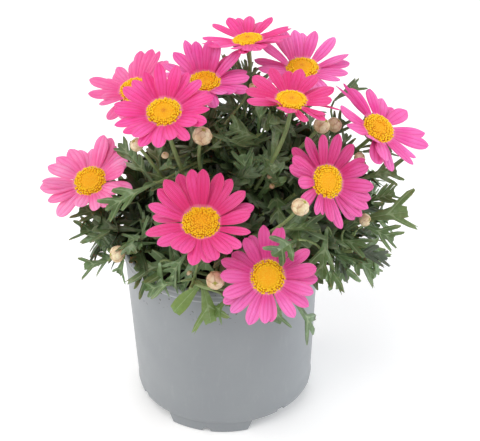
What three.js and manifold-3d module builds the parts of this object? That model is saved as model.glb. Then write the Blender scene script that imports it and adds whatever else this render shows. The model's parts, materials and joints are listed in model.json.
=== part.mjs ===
// A marguerite daisy in a round plastic nursery pot, in millimetres.
// +Z is up, the front faces -Y, and the origin is the point under the pot's axis on the ground.
// Every stem rises from one woody crown, and carries leaves, a flower head or a bud.
import * as THREE from "three";
import { mergeVertices } from "three/addons/utils/BufferGeometryUtils.js";
import Module from "manifold-3d";

const wasm = await Module();
wasm.setup();

// The clearance that two touching pieces keep, and the wider one under a stem that leans on the crown.
const SEAT = 0.3;
const STEM_SEAT = 0.45;

const POT = {
  height: 110,
  rimRadius: 60,
  rimBand: 8,
  wallTopRadius: 59.2,
  wallBaseRadius: 54.9,
  wall: 1.4,
  floor: 1.8,
  footHeight: 7.8,
  footRadius: 53.6,
  footWidth: 4.5,
  padRadius: 30,
  feet: 3,
  footSpan: 52,
  footSpanTop: 60,
  firstFoot: -11,
  notches: 7,
  firstNotch: -12.5,
  notchRadius: 2.6,
  segments: 48,
};
const SOIL = { top: 94, mound: 2.5, segments: 27 };
const CROWN = { radius: 23, rise: 15, segments: 18 };

const STALK = { radius: 1.15, sides: 6, rings: 6 };
const SHOOT = { radius: 1.4, sides: 6, rings: 5 };
const HEAD = {
  discShare: 0.17,
  domeShare: 0.36,
  petalThickness: 0.7,
  cupDepth: 5.5,
  rimShare: 1.12,
  waist: 0.62,
  cup: 13,
};
const LEAF = { thickness: 0.7, widthShare: 0.5, rib: 1.3, droop: 0.004, lobePairs: 2 };

// Flower heads: where the disc is, which way it faces (degrees round from the front and up from level),
// the span across the petals, and how many petals it has.
const FLOWERS = [
  { name: "left", at: [-76, -8, 154.2], faces: [-22, 58], span: 57, petals: 18, tone: "light" },
  { name: "upper_left_front", at: [-29, -40, 215.8], faces: [-7, 64], span: 56, petals: 20, tone: "deep" },
  { name: "upper_left_back", at: [-48, 5, 207], faces: [-23, 64], span: 50, petals: 18, tone: "light" },
  { name: "upper_middle", at: [-7, 0, 214], faces: [14, 74], span: 51, petals: 18, tone: "pink" },
  { name: "top", at: [18, 20, 230.2], faces: [-121, 84], span: 50, petals: 19, tone: "deep" },
  { name: "upper_right_back", at: [49.5, 20, 211.6], faces: [0, 80], span: 56, petals: 19, tone: "pink" },
  { name: "upper_right_front", at: [41, -34, 218.4], faces: [29, 80], span: 51, petals: 18, tone: "deep" },
  { name: "right", at: [92, -10, 187], faces: [43, 54], span: 55, petals: 17, tone: "pink" },
  { name: "middle_left", at: [-10, -64, 159], faces: [0, 62], span: 62, petals: 20, tone: "deep" },
  { name: "middle_right", at: [60.2, -48, 175], faces: [31, 31], span: 55, petals: 20, tone: "magenta" },
  { name: "low_front", at: [26.3, -80, 133], faces: [0, 40], span: 56, petals: 20, tone: "pink" },
  { name: "back_left", at: [-32, 72, 122], faces: [-155, 42], span: 52, petals: 18, tone: "pink" },
  { name: "back_right", at: [46, 70, 141], faces: [150, 46], span: 54, petals: 19, tone: "deep" },
];

// Buds: the middle of the bud, and its width.
const BUDS = [
  { name: "upper_middle", at: [-8.6, -34, 198.4], width: 10.5, leans: [0.22, -0.3, 0.93] },
  { name: "upper_left", at: [-46, -30, 191], width: 7.5 },
  { name: "upper_right", at: [59, -22, 197], width: 9 },
  { name: "far_upper_right", at: [67, -12, 192], width: 8.5 },
  { name: "middle_right", at: [45, -72, 174], width: 9.5, leans: [0.55, -0.15, 0.82] },
  { name: "right", at: [81, -22, 175], width: 6.5 },
  { name: "low_right", at: [84, -38, 143], width: 7 },
  { name: "low_left", at: [-61, -38, 123], width: 9.5 },
  { name: "low_front", at: [-2.8, -79, 130.6], width: 10 },
];

// Leafy shoots: where the tip of the stem is.
const SHOOTS = [
  { name: "left_upper", tip: [-66, -2, 133] },
  { name: "left_lower", tip: [-60, -22, 116] },
  { name: "front_left", tip: [-33, -54, 118] },
  { name: "front_right", tip: [50, -56, 122] },
  { name: "right_lower", tip: [76, -16, 118] },
  { name: "right_upper", tip: [82, 4, 140] },
  { name: "top", tip: [12, 0, 182] },
  { name: "back_left", tip: [-62, 42, 140] },
  { name: "back_right", tip: [62, 46, 142] },
];

const COLOURS = {
  pot: ["#8f9496", 0.55],
  soil: ["#3a2c20", 0.95],
  crown: ["#6b5a3c", 0.85],
  stalk: ["#6f8a4e", 0.6],
  leaf: ["#61794f", 0.65],
  bud: ["#dcc79a", 0.6],
  disc: ["#f2b817", 0.7],
  light: ["#f587bd", 0.5],
  pink: ["#f0589f", 0.5],
  deep: ["#ee3088", 0.5],
  magenta: ["#d93a88", 0.5],
};

const UP = new THREE.Vector3(0, 0, 1);
const GOLDEN_ANGLE = Math.PI * (3 - Math.sqrt(5));
const radians = THREE.MathUtils.degToRad;

// A unit vector that is turned round from the front, towards the right, and tipped up from level.
function facing(round, up) {
  const level = Math.cos(radians(up));
  return new THREE.Vector3(
    Math.sin(radians(round)) * level,
    -Math.cos(radians(round)) * level,
    Math.sin(radians(up)),
  );
}

function bareGeometry(positions, index) {
  const geometry = new THREE.BufferGeometry();
  geometry.setAttribute("position", new THREE.Float32BufferAttribute(positions, 3));
  geometry.setIndex(index);
  return geometry;
}

function solidOf(geometry) {
  const bare = geometry.clone();
  bare.deleteAttribute("normal");
  bare.deleteAttribute("uv");
  const merged = mergeVertices(bare, 1e-4);
  return new wasm.Manifold(
    new wasm.Mesh({
      numProp: 3,
      vertProperties: merged.attributes.position.array,
      triVerts: new Uint32Array(merged.index.array),
    }),
  );
}

function geometryOf(solid) {
  const mesh = solid.getMesh();
  const geometry = bareGeometry(mesh.vertProperties, Array.from(mesh.triVerts));
  geometry.computeVertexNormals();
  return geometry;
}

function meshOf(name, geometry, colour) {
  const [color, roughness] = COLOURS[colour];
  const material = new THREE.MeshStandardMaterial({ color, roughness, metalness: 0 });
  const mesh = new THREE.Mesh(geometry, material);
  mesh.name = name;
  return mesh;
}

// Turns [radius, height] pairs, listed from the lowest outside point upwards, about the Z axis.
function turned(profile, segments) {
  const points = profile.map(([radius, height]) => new THREE.Vector2(radius, height));
  return new THREE.LatheGeometry(points, segments).rotateX(Math.PI / 2);
}

function wallRadius(height) {
  const share = (height - POT.footHeight) / (POT.height - POT.rimBand - POT.footHeight);
  return THREE.MathUtils.lerp(POT.wallBaseRadius, POT.wallTopRadius, share);
}

function potShell() {
  const { height, rimRadius, rimBand, wall, floor, footHeight } = POT;
  const ledge = height - rimBand;
  const insideFloor = footHeight + floor;
  return solidOf(
    turned(
      [
        [0, 0],
        [POT.padRadius, 0],
        [POT.padRadius + POT.wall, footHeight],
        [POT.wallBaseRadius, footHeight],
        [wallRadius(ledge - 0.8), ledge - 0.8],
        [rimRadius, ledge],
        [rimRadius, height - 0.8],
        [rimRadius - 0.7, height],
        [rimRadius - 2, height],
        [wallRadius(ledge) - wall, ledge],
        [wallRadius(insideFloor) - wall, insideFloor],
        [POT.padRadius, insideFloor],
        [POT.padRadius - wall, floor],
        [0, floor],
      ],
      POT.segments,
    ),
  );
}

// One foot: an arc under the pot's edge with sloping ends, reaching up into the floor.
function foot(middle) {
  const steps = 6;
  const top = POT.footHeight + POT.floor / 2;
  const inner = POT.footRadius - POT.footWidth;
  const corners = [
    [inner, 0, POT.footSpan],
    [POT.footRadius, 0, POT.footSpan],
    [POT.footRadius, top, POT.footSpanTop],
    [inner, top, POT.footSpanTop],
  ];
  const positions = [];
  const index = [0, 1, 2, 0, 2, 3];
  for (let step = 0; step <= steps; step++) {
    for (const [radius, height, span] of corners) {
      const turn = middle + radians(span) * (step / steps - 0.5);
      positions.push(Math.cos(turn) * radius, Math.sin(turn) * radius, height);
    }
    const here = step * 4;
    for (let k = 0; k < 4 && step < steps; k++) {
      const next = here + ((k + 1) % 4);
      index.push(here + k, here + 4 + k, next + 4, here + k, next + 4, next);
    }
  }
  const last = steps * 4;
  index.push(last, last + 2, last + 1, last, last + 3, last + 2);
  return solidOf(bareGeometry(positions, index));
}

// A round channel that runs outwards under the pot's edge, for water.
function drainNotch(round, height) {
  const geometry = new THREE.CylinderGeometry(POT.notchRadius, POT.notchRadius, 16, 10);
  geometry.translate(0, POT.wallBaseRadius, height);
  return solidOf(geometry.rotateZ(round - Math.PI / 2));
}

function turnFromFront(degrees) {
  return radians(degrees - 90);
}

function isOnFoot(round) {
  const pitch = 360 / POT.feet;
  const past = THREE.MathUtils.euclideanModulo(round - POT.firstFoot, pitch);
  return Math.min(past, pitch - past) < POT.footSpan / 2;
}

function pot() {
  let body = potShell();
  for (let i = 0; i < POT.feet; i++) {
    body = body.add(foot(turnFromFront(POT.firstFoot + (360 * i) / POT.feet)));
  }
  for (let i = 0; i < POT.notches; i++) {
    const round = POT.firstNotch + (360 * i) / POT.notches;
    body = body.subtract(drainNotch(turnFromFront(round), isOnFoot(round) ? 0 : POT.footHeight));
  }
  return body;
}

function soil() {
  const bottom = POT.footHeight + POT.floor + SEAT;
  const clear = POT.wall + 2 * SEAT;
  return turned(
    [
      [0, POT.floor + SEAT],
      [POT.padRadius - clear, POT.floor + SEAT],
      [POT.padRadius - SEAT, bottom],
      [wallRadius(bottom) - clear, bottom],
      [wallRadius(SOIL.top) - clear, SOIL.top],
      [CROWN.radius + 12, SOIL.top + SOIL.mound * 0.6],
      [CROWN.radius, SOIL.top + SOIL.mound],
      [0, SOIL.top + SOIL.mound],
    ],
    SOIL.segments,
  );
}

const CROWN_FOOT = SOIL.top + SOIL.mound + SEAT;

// The woody crown: a low dome that all the stems spring from.
function crown() {
  const profile = [[0, 0], [CROWN.radius - 2, 0]];
  for (let i = 0; i <= 5; i++) {
    const turn = (i / 5) * (Math.PI / 2);
    profile.push([Math.cos(turn) * CROWN.radius, 1.5 + Math.sin(turn) * CROWN.rise]);
  }
  profile[profile.length - 1][0] = 0;
  return turned(profile, CROWN.segments).translate(0, 0, CROWN_FOOT);
}

// The point above the crown's surface in a direction, with the surface's own outward direction there.
function springPoint(direction) {
  const normal = direction.clone();
  const onDome = new THREE.Vector3(
    direction.x * CROWN.radius,
    direction.y * CROWN.radius,
    direction.z * CROWN.rise,
  );
  normal.set(direction.x / CROWN.radius, direction.y / CROWN.radius, direction.z / CROWN.rise);
  normal.normalize();
  onDome.z += CROWN_FOOT + 1.5;
  return { point: onDome.addScaledVector(normal, STEM_SEAT), normal };
}

// Spreads the stems' starting directions over the crown until none stand closer than the spacing.
function spreadDirections(targets) {
  const centre = new THREE.Vector3(0, 0, CROWN_FOOT);
  const directions = targets.map((target) => {
    const direction = target.clone().sub(centre).normalize();
    direction.z = Math.max(direction.z, 0.3);
    return direction.normalize();
  });
  const spacing = 0.36;
  for (let round = 0; round < 300; round++) {
    directions.forEach((a, i) =>
      directions.slice(i + 1).forEach((b) => {
        const apart = a.clone().sub(b);
        const push = spacing - apart.length();
        if (push <= 0) return;
        apart.setLength(push / 2);
        a.add(apart);
        b.sub(apart);
        for (const d of [a, b]) {
          d.z = Math.max(d.z, 0.25);
          d.normalize();
        }
      }),
    );
  }
  return directions;
}

// A round bar along a list of points, with its own radius at each, and flat ends.
function bar(points, radii, sides) {
  const positions = [];
  const index = [];
  let side = new THREE.Vector3(1, 0, 0);
  points.forEach((point, i) => {
    const before = points[Math.max(i - 1, 0)];
    const after = points[Math.min(i + 1, points.length - 1)];
    const along = after.clone().sub(before).normalize();
    side = side.clone().addScaledVector(along, -side.dot(along));
    if (side.length() < 0.1) side.set(0, 1, 0).addScaledVector(along, -along.y);
    side.normalize();
    const other = along.clone().cross(side);
    for (let k = 0; k < sides; k++) {
      const turn = (k / sides) * 2 * Math.PI;
      const rim = point
        .clone()
        .addScaledVector(side, Math.cos(turn) * radii[i])
        .addScaledVector(other, Math.sin(turn) * radii[i]);
      positions.push(...rim.toArray());
    }
  });
  const last = (points.length - 1) * sides;
  for (let k = 0; k < sides; k++) {
    const next = (k + 1) % sides;
    for (let ring = 0; ring < last; ring += sides) {
      index.push(ring + k, ring + next, ring + sides + next);
      index.push(ring + k, ring + sides + next, ring + sides + k);
    }
    if (k > 0 && next > 0) {
      index.push(0, next, k);
      index.push(last, last + k, last + next);
    }
  }
  return bareGeometry(positions, index);
}

// The way a stem grows: out of the crown, then over to its end, arriving along a direction.
function stemCurve(direction, end, arriving) {
  const { point, normal } = springPoint(direction);
  const reach = point.distanceTo(end);
  const leaving = normal.clone().lerp(UP, 0.25).normalize();
  return new THREE.CubicBezierCurve3(
    point,
    point.clone().addScaledVector(leaving, reach * 0.35),
    end.clone().addScaledVector(arriving, -reach * 0.35),
    end,
  );
}

function headRadius(flower) {
  return flower.span * HEAD.discShare;
}

function axisOf(flower) {
  return facing(...flower.faces);
}

// A flower's stalk, which widens into the green cup under the petals.
function flowerStalk(flower, curve) {
  const points = curve.getPoints(STALK.rings);
  const radii = points.map(() => STALK.radius);
  const top = new THREE.Vector3(...flower.at).addScaledVector(axisOf(flower), -SEAT);
  const rim = headRadius(flower) * HEAD.rimShare;
  const steps = [[0.45, HEAD.waist], [0.1, 0.96], [0, 1]];
  for (const [below, wide] of steps) {
    points.push(top.clone().addScaledVector(axisOf(flower), -below * HEAD.cupDepth));
    radii.push(rim * wide);
  }
  return bar(points, radii, STALK.sides + 1);
}

// The outline of one petal: how far out each corner is, and how far across its share of the ring.
const PETAL_OUTLINE = [[0, -0.5], [0.1, -0.5], [0.66, -0.46], [1, 0], [0.66, 0.46]];
// Its upper side in triangles of those corners; 5 and 6 are the next petal's first two corners.
const PETAL_FACES = [[0, 1, 6], [0, 6, 5], [1, 2, 6], [2, 4, 6], [2, 3, 4]];
const PETAL_EDGES = [[1, 2], [2, 3], [3, 4], [4, 6], [5, 0]];

// The petals of one flower, joined at their bases into a ring that rests on the green cup.
function petalRing(flower) {
  const inner = headRadius(flower) + 2 * SEAT;
  const outer = flower.span / 2;
  const step = (2 * Math.PI) / flower.petals;
  const slope = Math.tan(radians(HEAD.cup));
  const corners = PETAL_OUTLINE.length;
  const positions = [];
  const index = [];
  for (let petal = 0; petal < flower.petals; petal++) {
    const reach = outer * (1 - 0.05 * Math.abs(Math.sin(petal * 2.3)));
    for (const [out, across] of PETAL_OUTLINE) {
      const radius = inner + out * (reach - inner);
      const turn = (petal + across) * step;
      const x = Math.cos(turn) * radius;
      const y = Math.sin(turn) * radius;
      const z = (radius - inner) * slope;
      positions.push(x, y, z, x, y, z + HEAD.petalThickness);
    }
    const next = (petal + 1) % flower.petals;
    const corner = (k) => 2 * (k < corners ? petal * corners + k : next * corners + k - corners);
    for (const [p, q, r] of PETAL_FACES.map((face) => face.map(corner))) {
      index.push(p + 1, q + 1, r + 1, p, r, q);
    }
    for (const [p, q] of PETAL_EDGES.map((edge) => edge.map(corner))) {
      index.push(p, q, q + 1, p, q + 1, p + 1);
    }
  }
  return bareGeometry(positions, index);
}

function disc(flower) {
  const radius = headRadius(flower);
  const dome = radius * HEAD.domeShare;
  const profile = [[0, 0], [radius * 0.96, 0], [radius, HEAD.petalThickness]];
  profile.push([radius * 0.8, dome * 0.62], [radius * 0.45, dome * 0.93], [0, dome]);
  return turned(profile, 10);
}

// A bud on its own stalk: a short neck, and a rounded head of closed scales.
function budOnStalk(bud, curve) {
  const points = curve.getPoints(STALK.rings);
  const radii = points.map(() => STALK.radius * 0.85);
  const end = points[points.length - 1];
  const along = curve.getTangent(1);
  const shape = [[0.12, 0.66], [0.38, 0.98], [0.66, 0.9], [0.9, 0.5], [1, 0.16]];
  for (const [out, wide] of shape) {
    points.push(end.clone().addScaledVector(along, out * bud.width * 0.95));
    radii.push((wide * bud.width) / 2);
  }
  return bar(points, radii, STALK.sides);
}

function shootStem(curve) {
  const points = curve.getPoints(SHOOT.rings);
  const radii = points.map((_, i) => SHOOT.radius * (1 - (0.5 * i) / SHOOT.rings));
  return bar(points, radii, SHOOT.sides);
}

// One lobed leaf, lying along +X with its upper side up, drooping towards its tip.
function leafBlade(length) {
  const outline = new THREE.Shape();
  const half = length * LEAF.widthShare * 0.5;
  const left = [];
  for (let pair = 0; pair < LEAF.lobePairs; pair++) {
    const start = 0.22 + 0.3 * pair;
    left.push([length * start, LEAF.rib]);
    left.push([length * (start + 0.24), half * (0.8 + 0.2 * pair)]);
  }
  left.push([length * 0.8, LEAF.rib]);
  outline.moveTo(0, -LEAF.rib * 0.6);
  for (const [x, y] of left) outline.lineTo(x, -y);
  outline.lineTo(length, 0);
  for (const [x, y] of left.reverse()) outline.lineTo(x, y);
  outline.lineTo(0, LEAF.rib * 0.6);
  outline.closePath();
  const options = { depth: LEAF.thickness, bevelEnabled: false, steps: 1 };
  const geometry = new THREE.ExtrudeGeometry(outline, options);
  geometry.translate(-0.2, 0, -LEAF.thickness / 2);
  const position = geometry.attributes.position;
  for (let i = 0; i < position.count; i++) {
    const x = position.getX(i);
    position.setZ(i, position.getZ(i) - LEAF.droop * x * x);
  }
  return geometry;
}

// Where leaf number k sits on a stem: turned round it by the golden angle, leaning out from it.
function leafPlace(curve, share, k, lean) {
  const point = curve.getPoint(share);
  const along = curve.getTangent(share);
  const out = UP.clone().cross(along).normalize().applyAxisAngle(along, k * GOLDEN_ANGLE);
  const ahead = along.clone().multiplyScalar(Math.cos(radians(lean)));
  ahead.addScaledVector(out, Math.sin(radians(lean))).normalize();
  const across = along.clone().cross(out).normalize();
  const above = ahead.clone().cross(across);
  return new THREE.Matrix4().makeBasis(ahead, across, above).setPosition(point);
}

function boxesMeet(a, b) {
  const one = a.boundingBox();
  const two = b.boundingBox();
  return [0, 1, 2].every((i) => one.min[i] < two.max[i] + 1 && two.min[i] < one.max[i] + 1);
}

function isClear(solid, others) {
  return others.every((other) => !boxesMeet(solid, other) || solid.minGap(other, 1) > SEAT);
}

// Adds leaves to a stem, from its tip down, wherever one has room beside everything else.
function addLeaves(stem, others, { curve, most, length, first }) {
  let body = stem;
  let added = 0;
  for (let k = 0; k < 12 && added < most; k++) {
    const share = 0.97 - (k * (1 - first)) / 12;
    const size = length * (0.82 + 0.18 * Math.cos(k));
    const place = leafPlace(curve, share, k, 38 + 3 * k);
    const leaf = solidOf(leafBlade(size).applyMatrix4(place));
    if (!isClear(leaf, others)) continue;
    const joined = body.add(leaf);
    if (joined.decompose().length > 1) continue;
    body = joined;
    added++;
  }
  return body;
}

function placedOnHead(geometry, flower) {
  const turn = new THREE.Quaternion().setFromUnitVectors(UP, axisOf(flower));
  return geometry.applyQuaternion(turn).translate(...flower.at);
}

function plantStems() {
  const rows = [];
  for (const flower of FLOWERS) {
    const axis = axisOf(flower);
    const under = SEAT + HEAD.cupDepth;
    const end = new THREE.Vector3(...flower.at).addScaledVector(axis, -under);
    rows.push({ kind: "flower", row: flower, end, arriving: axis });
  }
  for (const bud of BUDS) {
    const [x, y, z] = bud.at;
    const leans = bud.leans ?? [x, y, Math.max(z - POT.height, 12)];
    const arriving = new THREE.Vector3(...leans).normalize();
    const end = new THREE.Vector3(x, y, z).addScaledVector(arriving, -bud.width / 2);
    rows.push({ kind: "bud", row: bud, end, arriving });
  }
  for (const shoot of SHOOTS) {
    const end = new THREE.Vector3(...shoot.tip);
    const outwards = new THREE.Vector3(end.x, end.y, 35).normalize();
    rows.push({ kind: "shoot", row: shoot, end, arriving: outwards });
  }
  const directions = spreadDirections(rows.map((row) => row.end));
  rows.forEach((row, i) => {
    row.curve = stemCurve(directions[i], row.end, row.arriving);
  });
  return rows;
}

const LEAVES_ON = {
  flower: { most: 1, length: 40, first: 0.35, colour: "stalk" },
  bud: { most: 1, length: 34, first: 0.4, colour: "bud" },
  shoot: { most: 4, length: 44, first: 0.2, colour: "leaf" },
};

const SHAPE_OF = {
  flower: ({ row, curve }) => flowerStalk(row, curve),
  bud: ({ row, curve }) => budOnStalk(row, curve),
  shoot: ({ curve }) => shootStem(curve),
};

const NODE_NAME = {
  flower: (name) => `flower_${name}_stalk`,
  bud: (name) => `bud_${name}`,
  shoot: (name) => `leafy_shoot_${name}`,
};

const group = new THREE.Group();
group.name = "potted_marguerite_daisy";
group.add(meshOf("pot", geometryOf(pot()), "pot"));
group.add(meshOf("soil", soil(), "soil"));
group.add(meshOf("woody_crown", crown(), "crown"));

for (const flower of FLOWERS) {
  const petals = placedOnHead(petalRing(flower), flower);
  group.add(meshOf(`flower_${flower.name}_petals`, petals, flower.tone));
  group.add(meshOf(`flower_${flower.name}_disc`, placedOnHead(disc(flower), flower), "disc"));
}

const rows = plantStems();
const solids = group.children.map((mesh) => solidOf(mesh.geometry));
const stems = rows.map((row) => solidOf(SHAPE_OF[row.kind](row)));
rows.forEach((row, i) => {
  const others = [...solids, ...stems.filter((_, k) => k !== i)];
  stems[i] = addLeaves(stems[i], others, { curve: row.curve, ...LEAVES_ON[row.kind] });
  const name = NODE_NAME[row.kind](row.row.name);
  group.add(meshOf(name, geometryOf(stems[i]), LEAVES_ON[row.kind].colour));
});

export default group;
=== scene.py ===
# The looks of a potted marguerite daisy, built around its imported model.
# Sizes are in millimetres and angles in degrees unless a comment says otherwise; meshes are made in metres.
import json
import math
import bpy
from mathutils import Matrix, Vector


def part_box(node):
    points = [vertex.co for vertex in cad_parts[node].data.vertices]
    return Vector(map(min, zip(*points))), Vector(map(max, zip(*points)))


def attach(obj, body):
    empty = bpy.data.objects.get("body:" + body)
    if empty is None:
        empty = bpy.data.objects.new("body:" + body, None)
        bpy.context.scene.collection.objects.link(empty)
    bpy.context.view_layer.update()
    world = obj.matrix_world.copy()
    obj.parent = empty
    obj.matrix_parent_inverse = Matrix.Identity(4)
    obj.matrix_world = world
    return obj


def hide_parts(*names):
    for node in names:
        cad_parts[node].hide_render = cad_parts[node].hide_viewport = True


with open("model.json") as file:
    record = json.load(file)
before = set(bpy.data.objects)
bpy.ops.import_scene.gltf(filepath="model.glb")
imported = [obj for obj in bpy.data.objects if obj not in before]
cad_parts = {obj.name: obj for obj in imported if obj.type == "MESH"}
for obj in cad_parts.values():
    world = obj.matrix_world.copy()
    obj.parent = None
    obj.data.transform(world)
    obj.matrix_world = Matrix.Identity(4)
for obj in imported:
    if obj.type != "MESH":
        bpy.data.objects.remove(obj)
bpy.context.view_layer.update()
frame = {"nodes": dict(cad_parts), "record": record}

from types import SimpleNamespace as Values

import bpy
import numpy as np
from mathutils import Matrix, Vector

MM = 0.001
UP = np.array([0.0, 0.0, 1.0])
GOLDEN_ANGLE = math.pi * (3 - math.sqrt(5))
SLOTS = {row["node"]: row["material_slot"] for row in frame["record"]["subparts"]}
RIM_RADIUS, _, RIM_TOP = np.array(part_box("pot")[1]) / MM

# The direction that is up for the camera of the photograph, kept as a fixed direction of the plant. Petals
# on this side of a disc get painted shade, a richer and darker tone, and those on the other side painted
# light, a paler one.
PHOTO_UP = np.array([0.0, 0.53, 0.85])

# The view of the photograph: how far the camera looks down, its roll, how far off it is and what it
# looks at, both in metres.
CAMERA = Values(elevation=32.0, roll=-1.05, distance=0.9, aim=(0.0115, 0.0, 0.1205), lens=111.5, sensor=36.0)
PICTURE = Values(width=480, height=441)

# Each flower: its petals, how far they rise from flat, how much they droop along their length, how
# uneven they are, their mean length as a share of the imported one, the share of open florets, how orange
# the middle is, how much painted shade the petals behind the disc get and painted light those before it,
# and how rich and how pale all of them are.
FLOWER_VALUES = ("petals", "rise", "droop", "uneven", "long", "open", "spot", "dim", "rich", "pale")
FLOWER_ROWS = {
    "left": (18, 11, 14, 7, 0.99, 0.5, 0.0, 0.3, 0.0, 0.1),
    "upper_left_front": (20, 12, 18, 6, 1.02, 0.5, 1.0, 0.3, 0.0, 0.0),
    "upper_left_back": (18, 14, 14, 8, 1.06, 0.6, 0.0, 0.3, 0.5, 0.0),
    "upper_middle": (18, 11, 16, 8, 1.05, 0.7, 0.6, 0.25, 0.0, 0.25),
    "top": (19, 6, 14, 6, 1.07, 0.35, 1.0, 0.2, 0.0, 0.12),
    "upper_right_back": (19, 9, 12, 8, 1.02, 0.45, 0.6, 0.0, 0.0, 0.75),
    "upper_right_front": (18, 9, 14, 9, 1.02, 0.35, 0.8, 0.5, 0.4, 0.0),
    "right": (17, 10, 12, 9, 1.11, 0.75, 0.0, 0.65, 0.0, 0.0),
    "middle_left": (20, 12, 16, 6, 1.0, 0.86, 0.0, 0.7, 0.0, 0.35),
    "middle_right": (20, 11, 14, 6, 1.0, 0.5, 0.0, 0.75, 0.1, 0.0),
    "low_front": (20, 8, 10, 5, 1.0, 0.42, 0.0, 1.0, 0.0, 0.35),
    "back_left": (18, 10, 16, 7, 1.0, 0.5, 0.0, 0.3, 0.0, 0.0),
    "back_right": (19, 9, 14, 7, 1.0, 0.4, 0.0, 0.3, 0.0, 0.0),
}
FLOWERS = {name: Values(**dict(zip(FLOWER_VALUES, row))) for name, row in FLOWER_ROWS.items()}

# The angle of the first petal of the flowers that the picture doesn't show.
FIRST_PETALS = {"back_left": 3, "back_right": 5}

# Where petal tips are seen in the picture, in its pixels, and how wide the odd petals are beside the
# others.
PETALS_SEEN = {
    "left": (
        (70, 149), (80, 150), (92, 149), (104, 135), (112, 138), (116, 146, 0.8), (128, 160), (125, 168),
        (132, 190), (121, 190), (109, 206), (97, 210), (78, 207, 0.9), (57, 216, 1.25), (40, 189),
        (42, 182), (48, 166), (57, 157),
    ),
    "upper_left_front": (
        (159, 63), (177, 65), (187, 72), (201, 80), (207, 91), (213, 97), (210, 109, 0.8), (207, 122),
        (196, 124), (188, 141), (172, 140), (158, 148), (140, 147), (133, 137), (124, 134), (114, 125),
        (114, 104), (123, 88), (133, 80), (144, 72),
    ),
    "upper_left_back": (
        (142, 51), (152, 49), (160, 51, 0.7), (163, 61), (134, 61), (117, 67), (114, 74), (101, 82),
        (101, 97, 0.7), (99, 105, 0.8), (108, 120),
    ),
    "upper_middle": (
        (185, 40), (196, 41), (210, 40), (218, 42), (241, 50), (247, 71), (236, 92), (225, 94), (215, 108),
        (174, 52), (163, 64),
    ),
    "top": (
        (213, 24), (228, 18), (237, 18), (249, 16), (262, 22), (272, 17), (285, 30, 0.8), (273, 38, 0.8),
        (202, 38), (219, 48, 0.8), (233, 49), (243, 54), (247, 51), (257, 51), (265, 48),
    ),
    "upper_right_back": (
        (261, 43), (254, 60, 0.8), (260, 71), (275, 34), (282, 30), (294, 30), (303, 33), (315, 31),
        (335, 37), (349, 54), (350, 63), (340, 81, 0.7),
    ),
    "upper_right_front": (
        (252, 77), (255, 90, 0.5), (267, 99), (281, 110), (291, 113), (307, 122, 0.7), (325, 121, 0.7),
        (326, 115, 0.5), (340, 110, 0.35), (332, 101), (328, 87), (316, 75), (301, 69), (288, 71),
        (271, 68),
    ),
    "right": (
        (370, 89), (383, 99), (394, 109), (407, 111), (425, 133), (416, 158, 0.7), (413, 165, 0.7),
        (385, 161), (376, 164), (348, 127), (340, 106), (350, 88), (343, 83, 0.3), (335, 85, 0.3),
        (373, 140),
    ),
    "middle_left": (
        (178, 174), (192, 169), (203, 169), (221, 173), (232, 179), (245, 191), (254, 206), (251, 214),
        (251, 233, 0.6), (241, 248), (215, 261), (209, 263), (181, 253), (173, 249), (145, 234), (153, 216),
        (148, 205), (157, 190), (164, 180),
    ),
    "middle_right": (
        (292, 148), (306, 137), (323, 134), (339, 134), (354, 145), (365, 159), (369, 167), (374, 187),
        (371, 199), (368, 209), (362, 216), (354, 220), (341, 229), (332, 222, 0.8), (322, 215, 0.7),
        (316, 215, 0.7), (301, 206), (298, 183), (289, 167), (292, 158),
    ),
    "low_front": (
        (250, 235), (263, 225), (281, 226), (244, 238), (310, 250), (317, 268), (318, 279), (314, 292),
        (309, 306), (294, 318), (272, 322), (265, 324), (249, 325), (231, 313), (223, 303), (223, 296),
        (220, 276), (221, 260), (232, 253), (291, 240),
    ),
}

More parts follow.
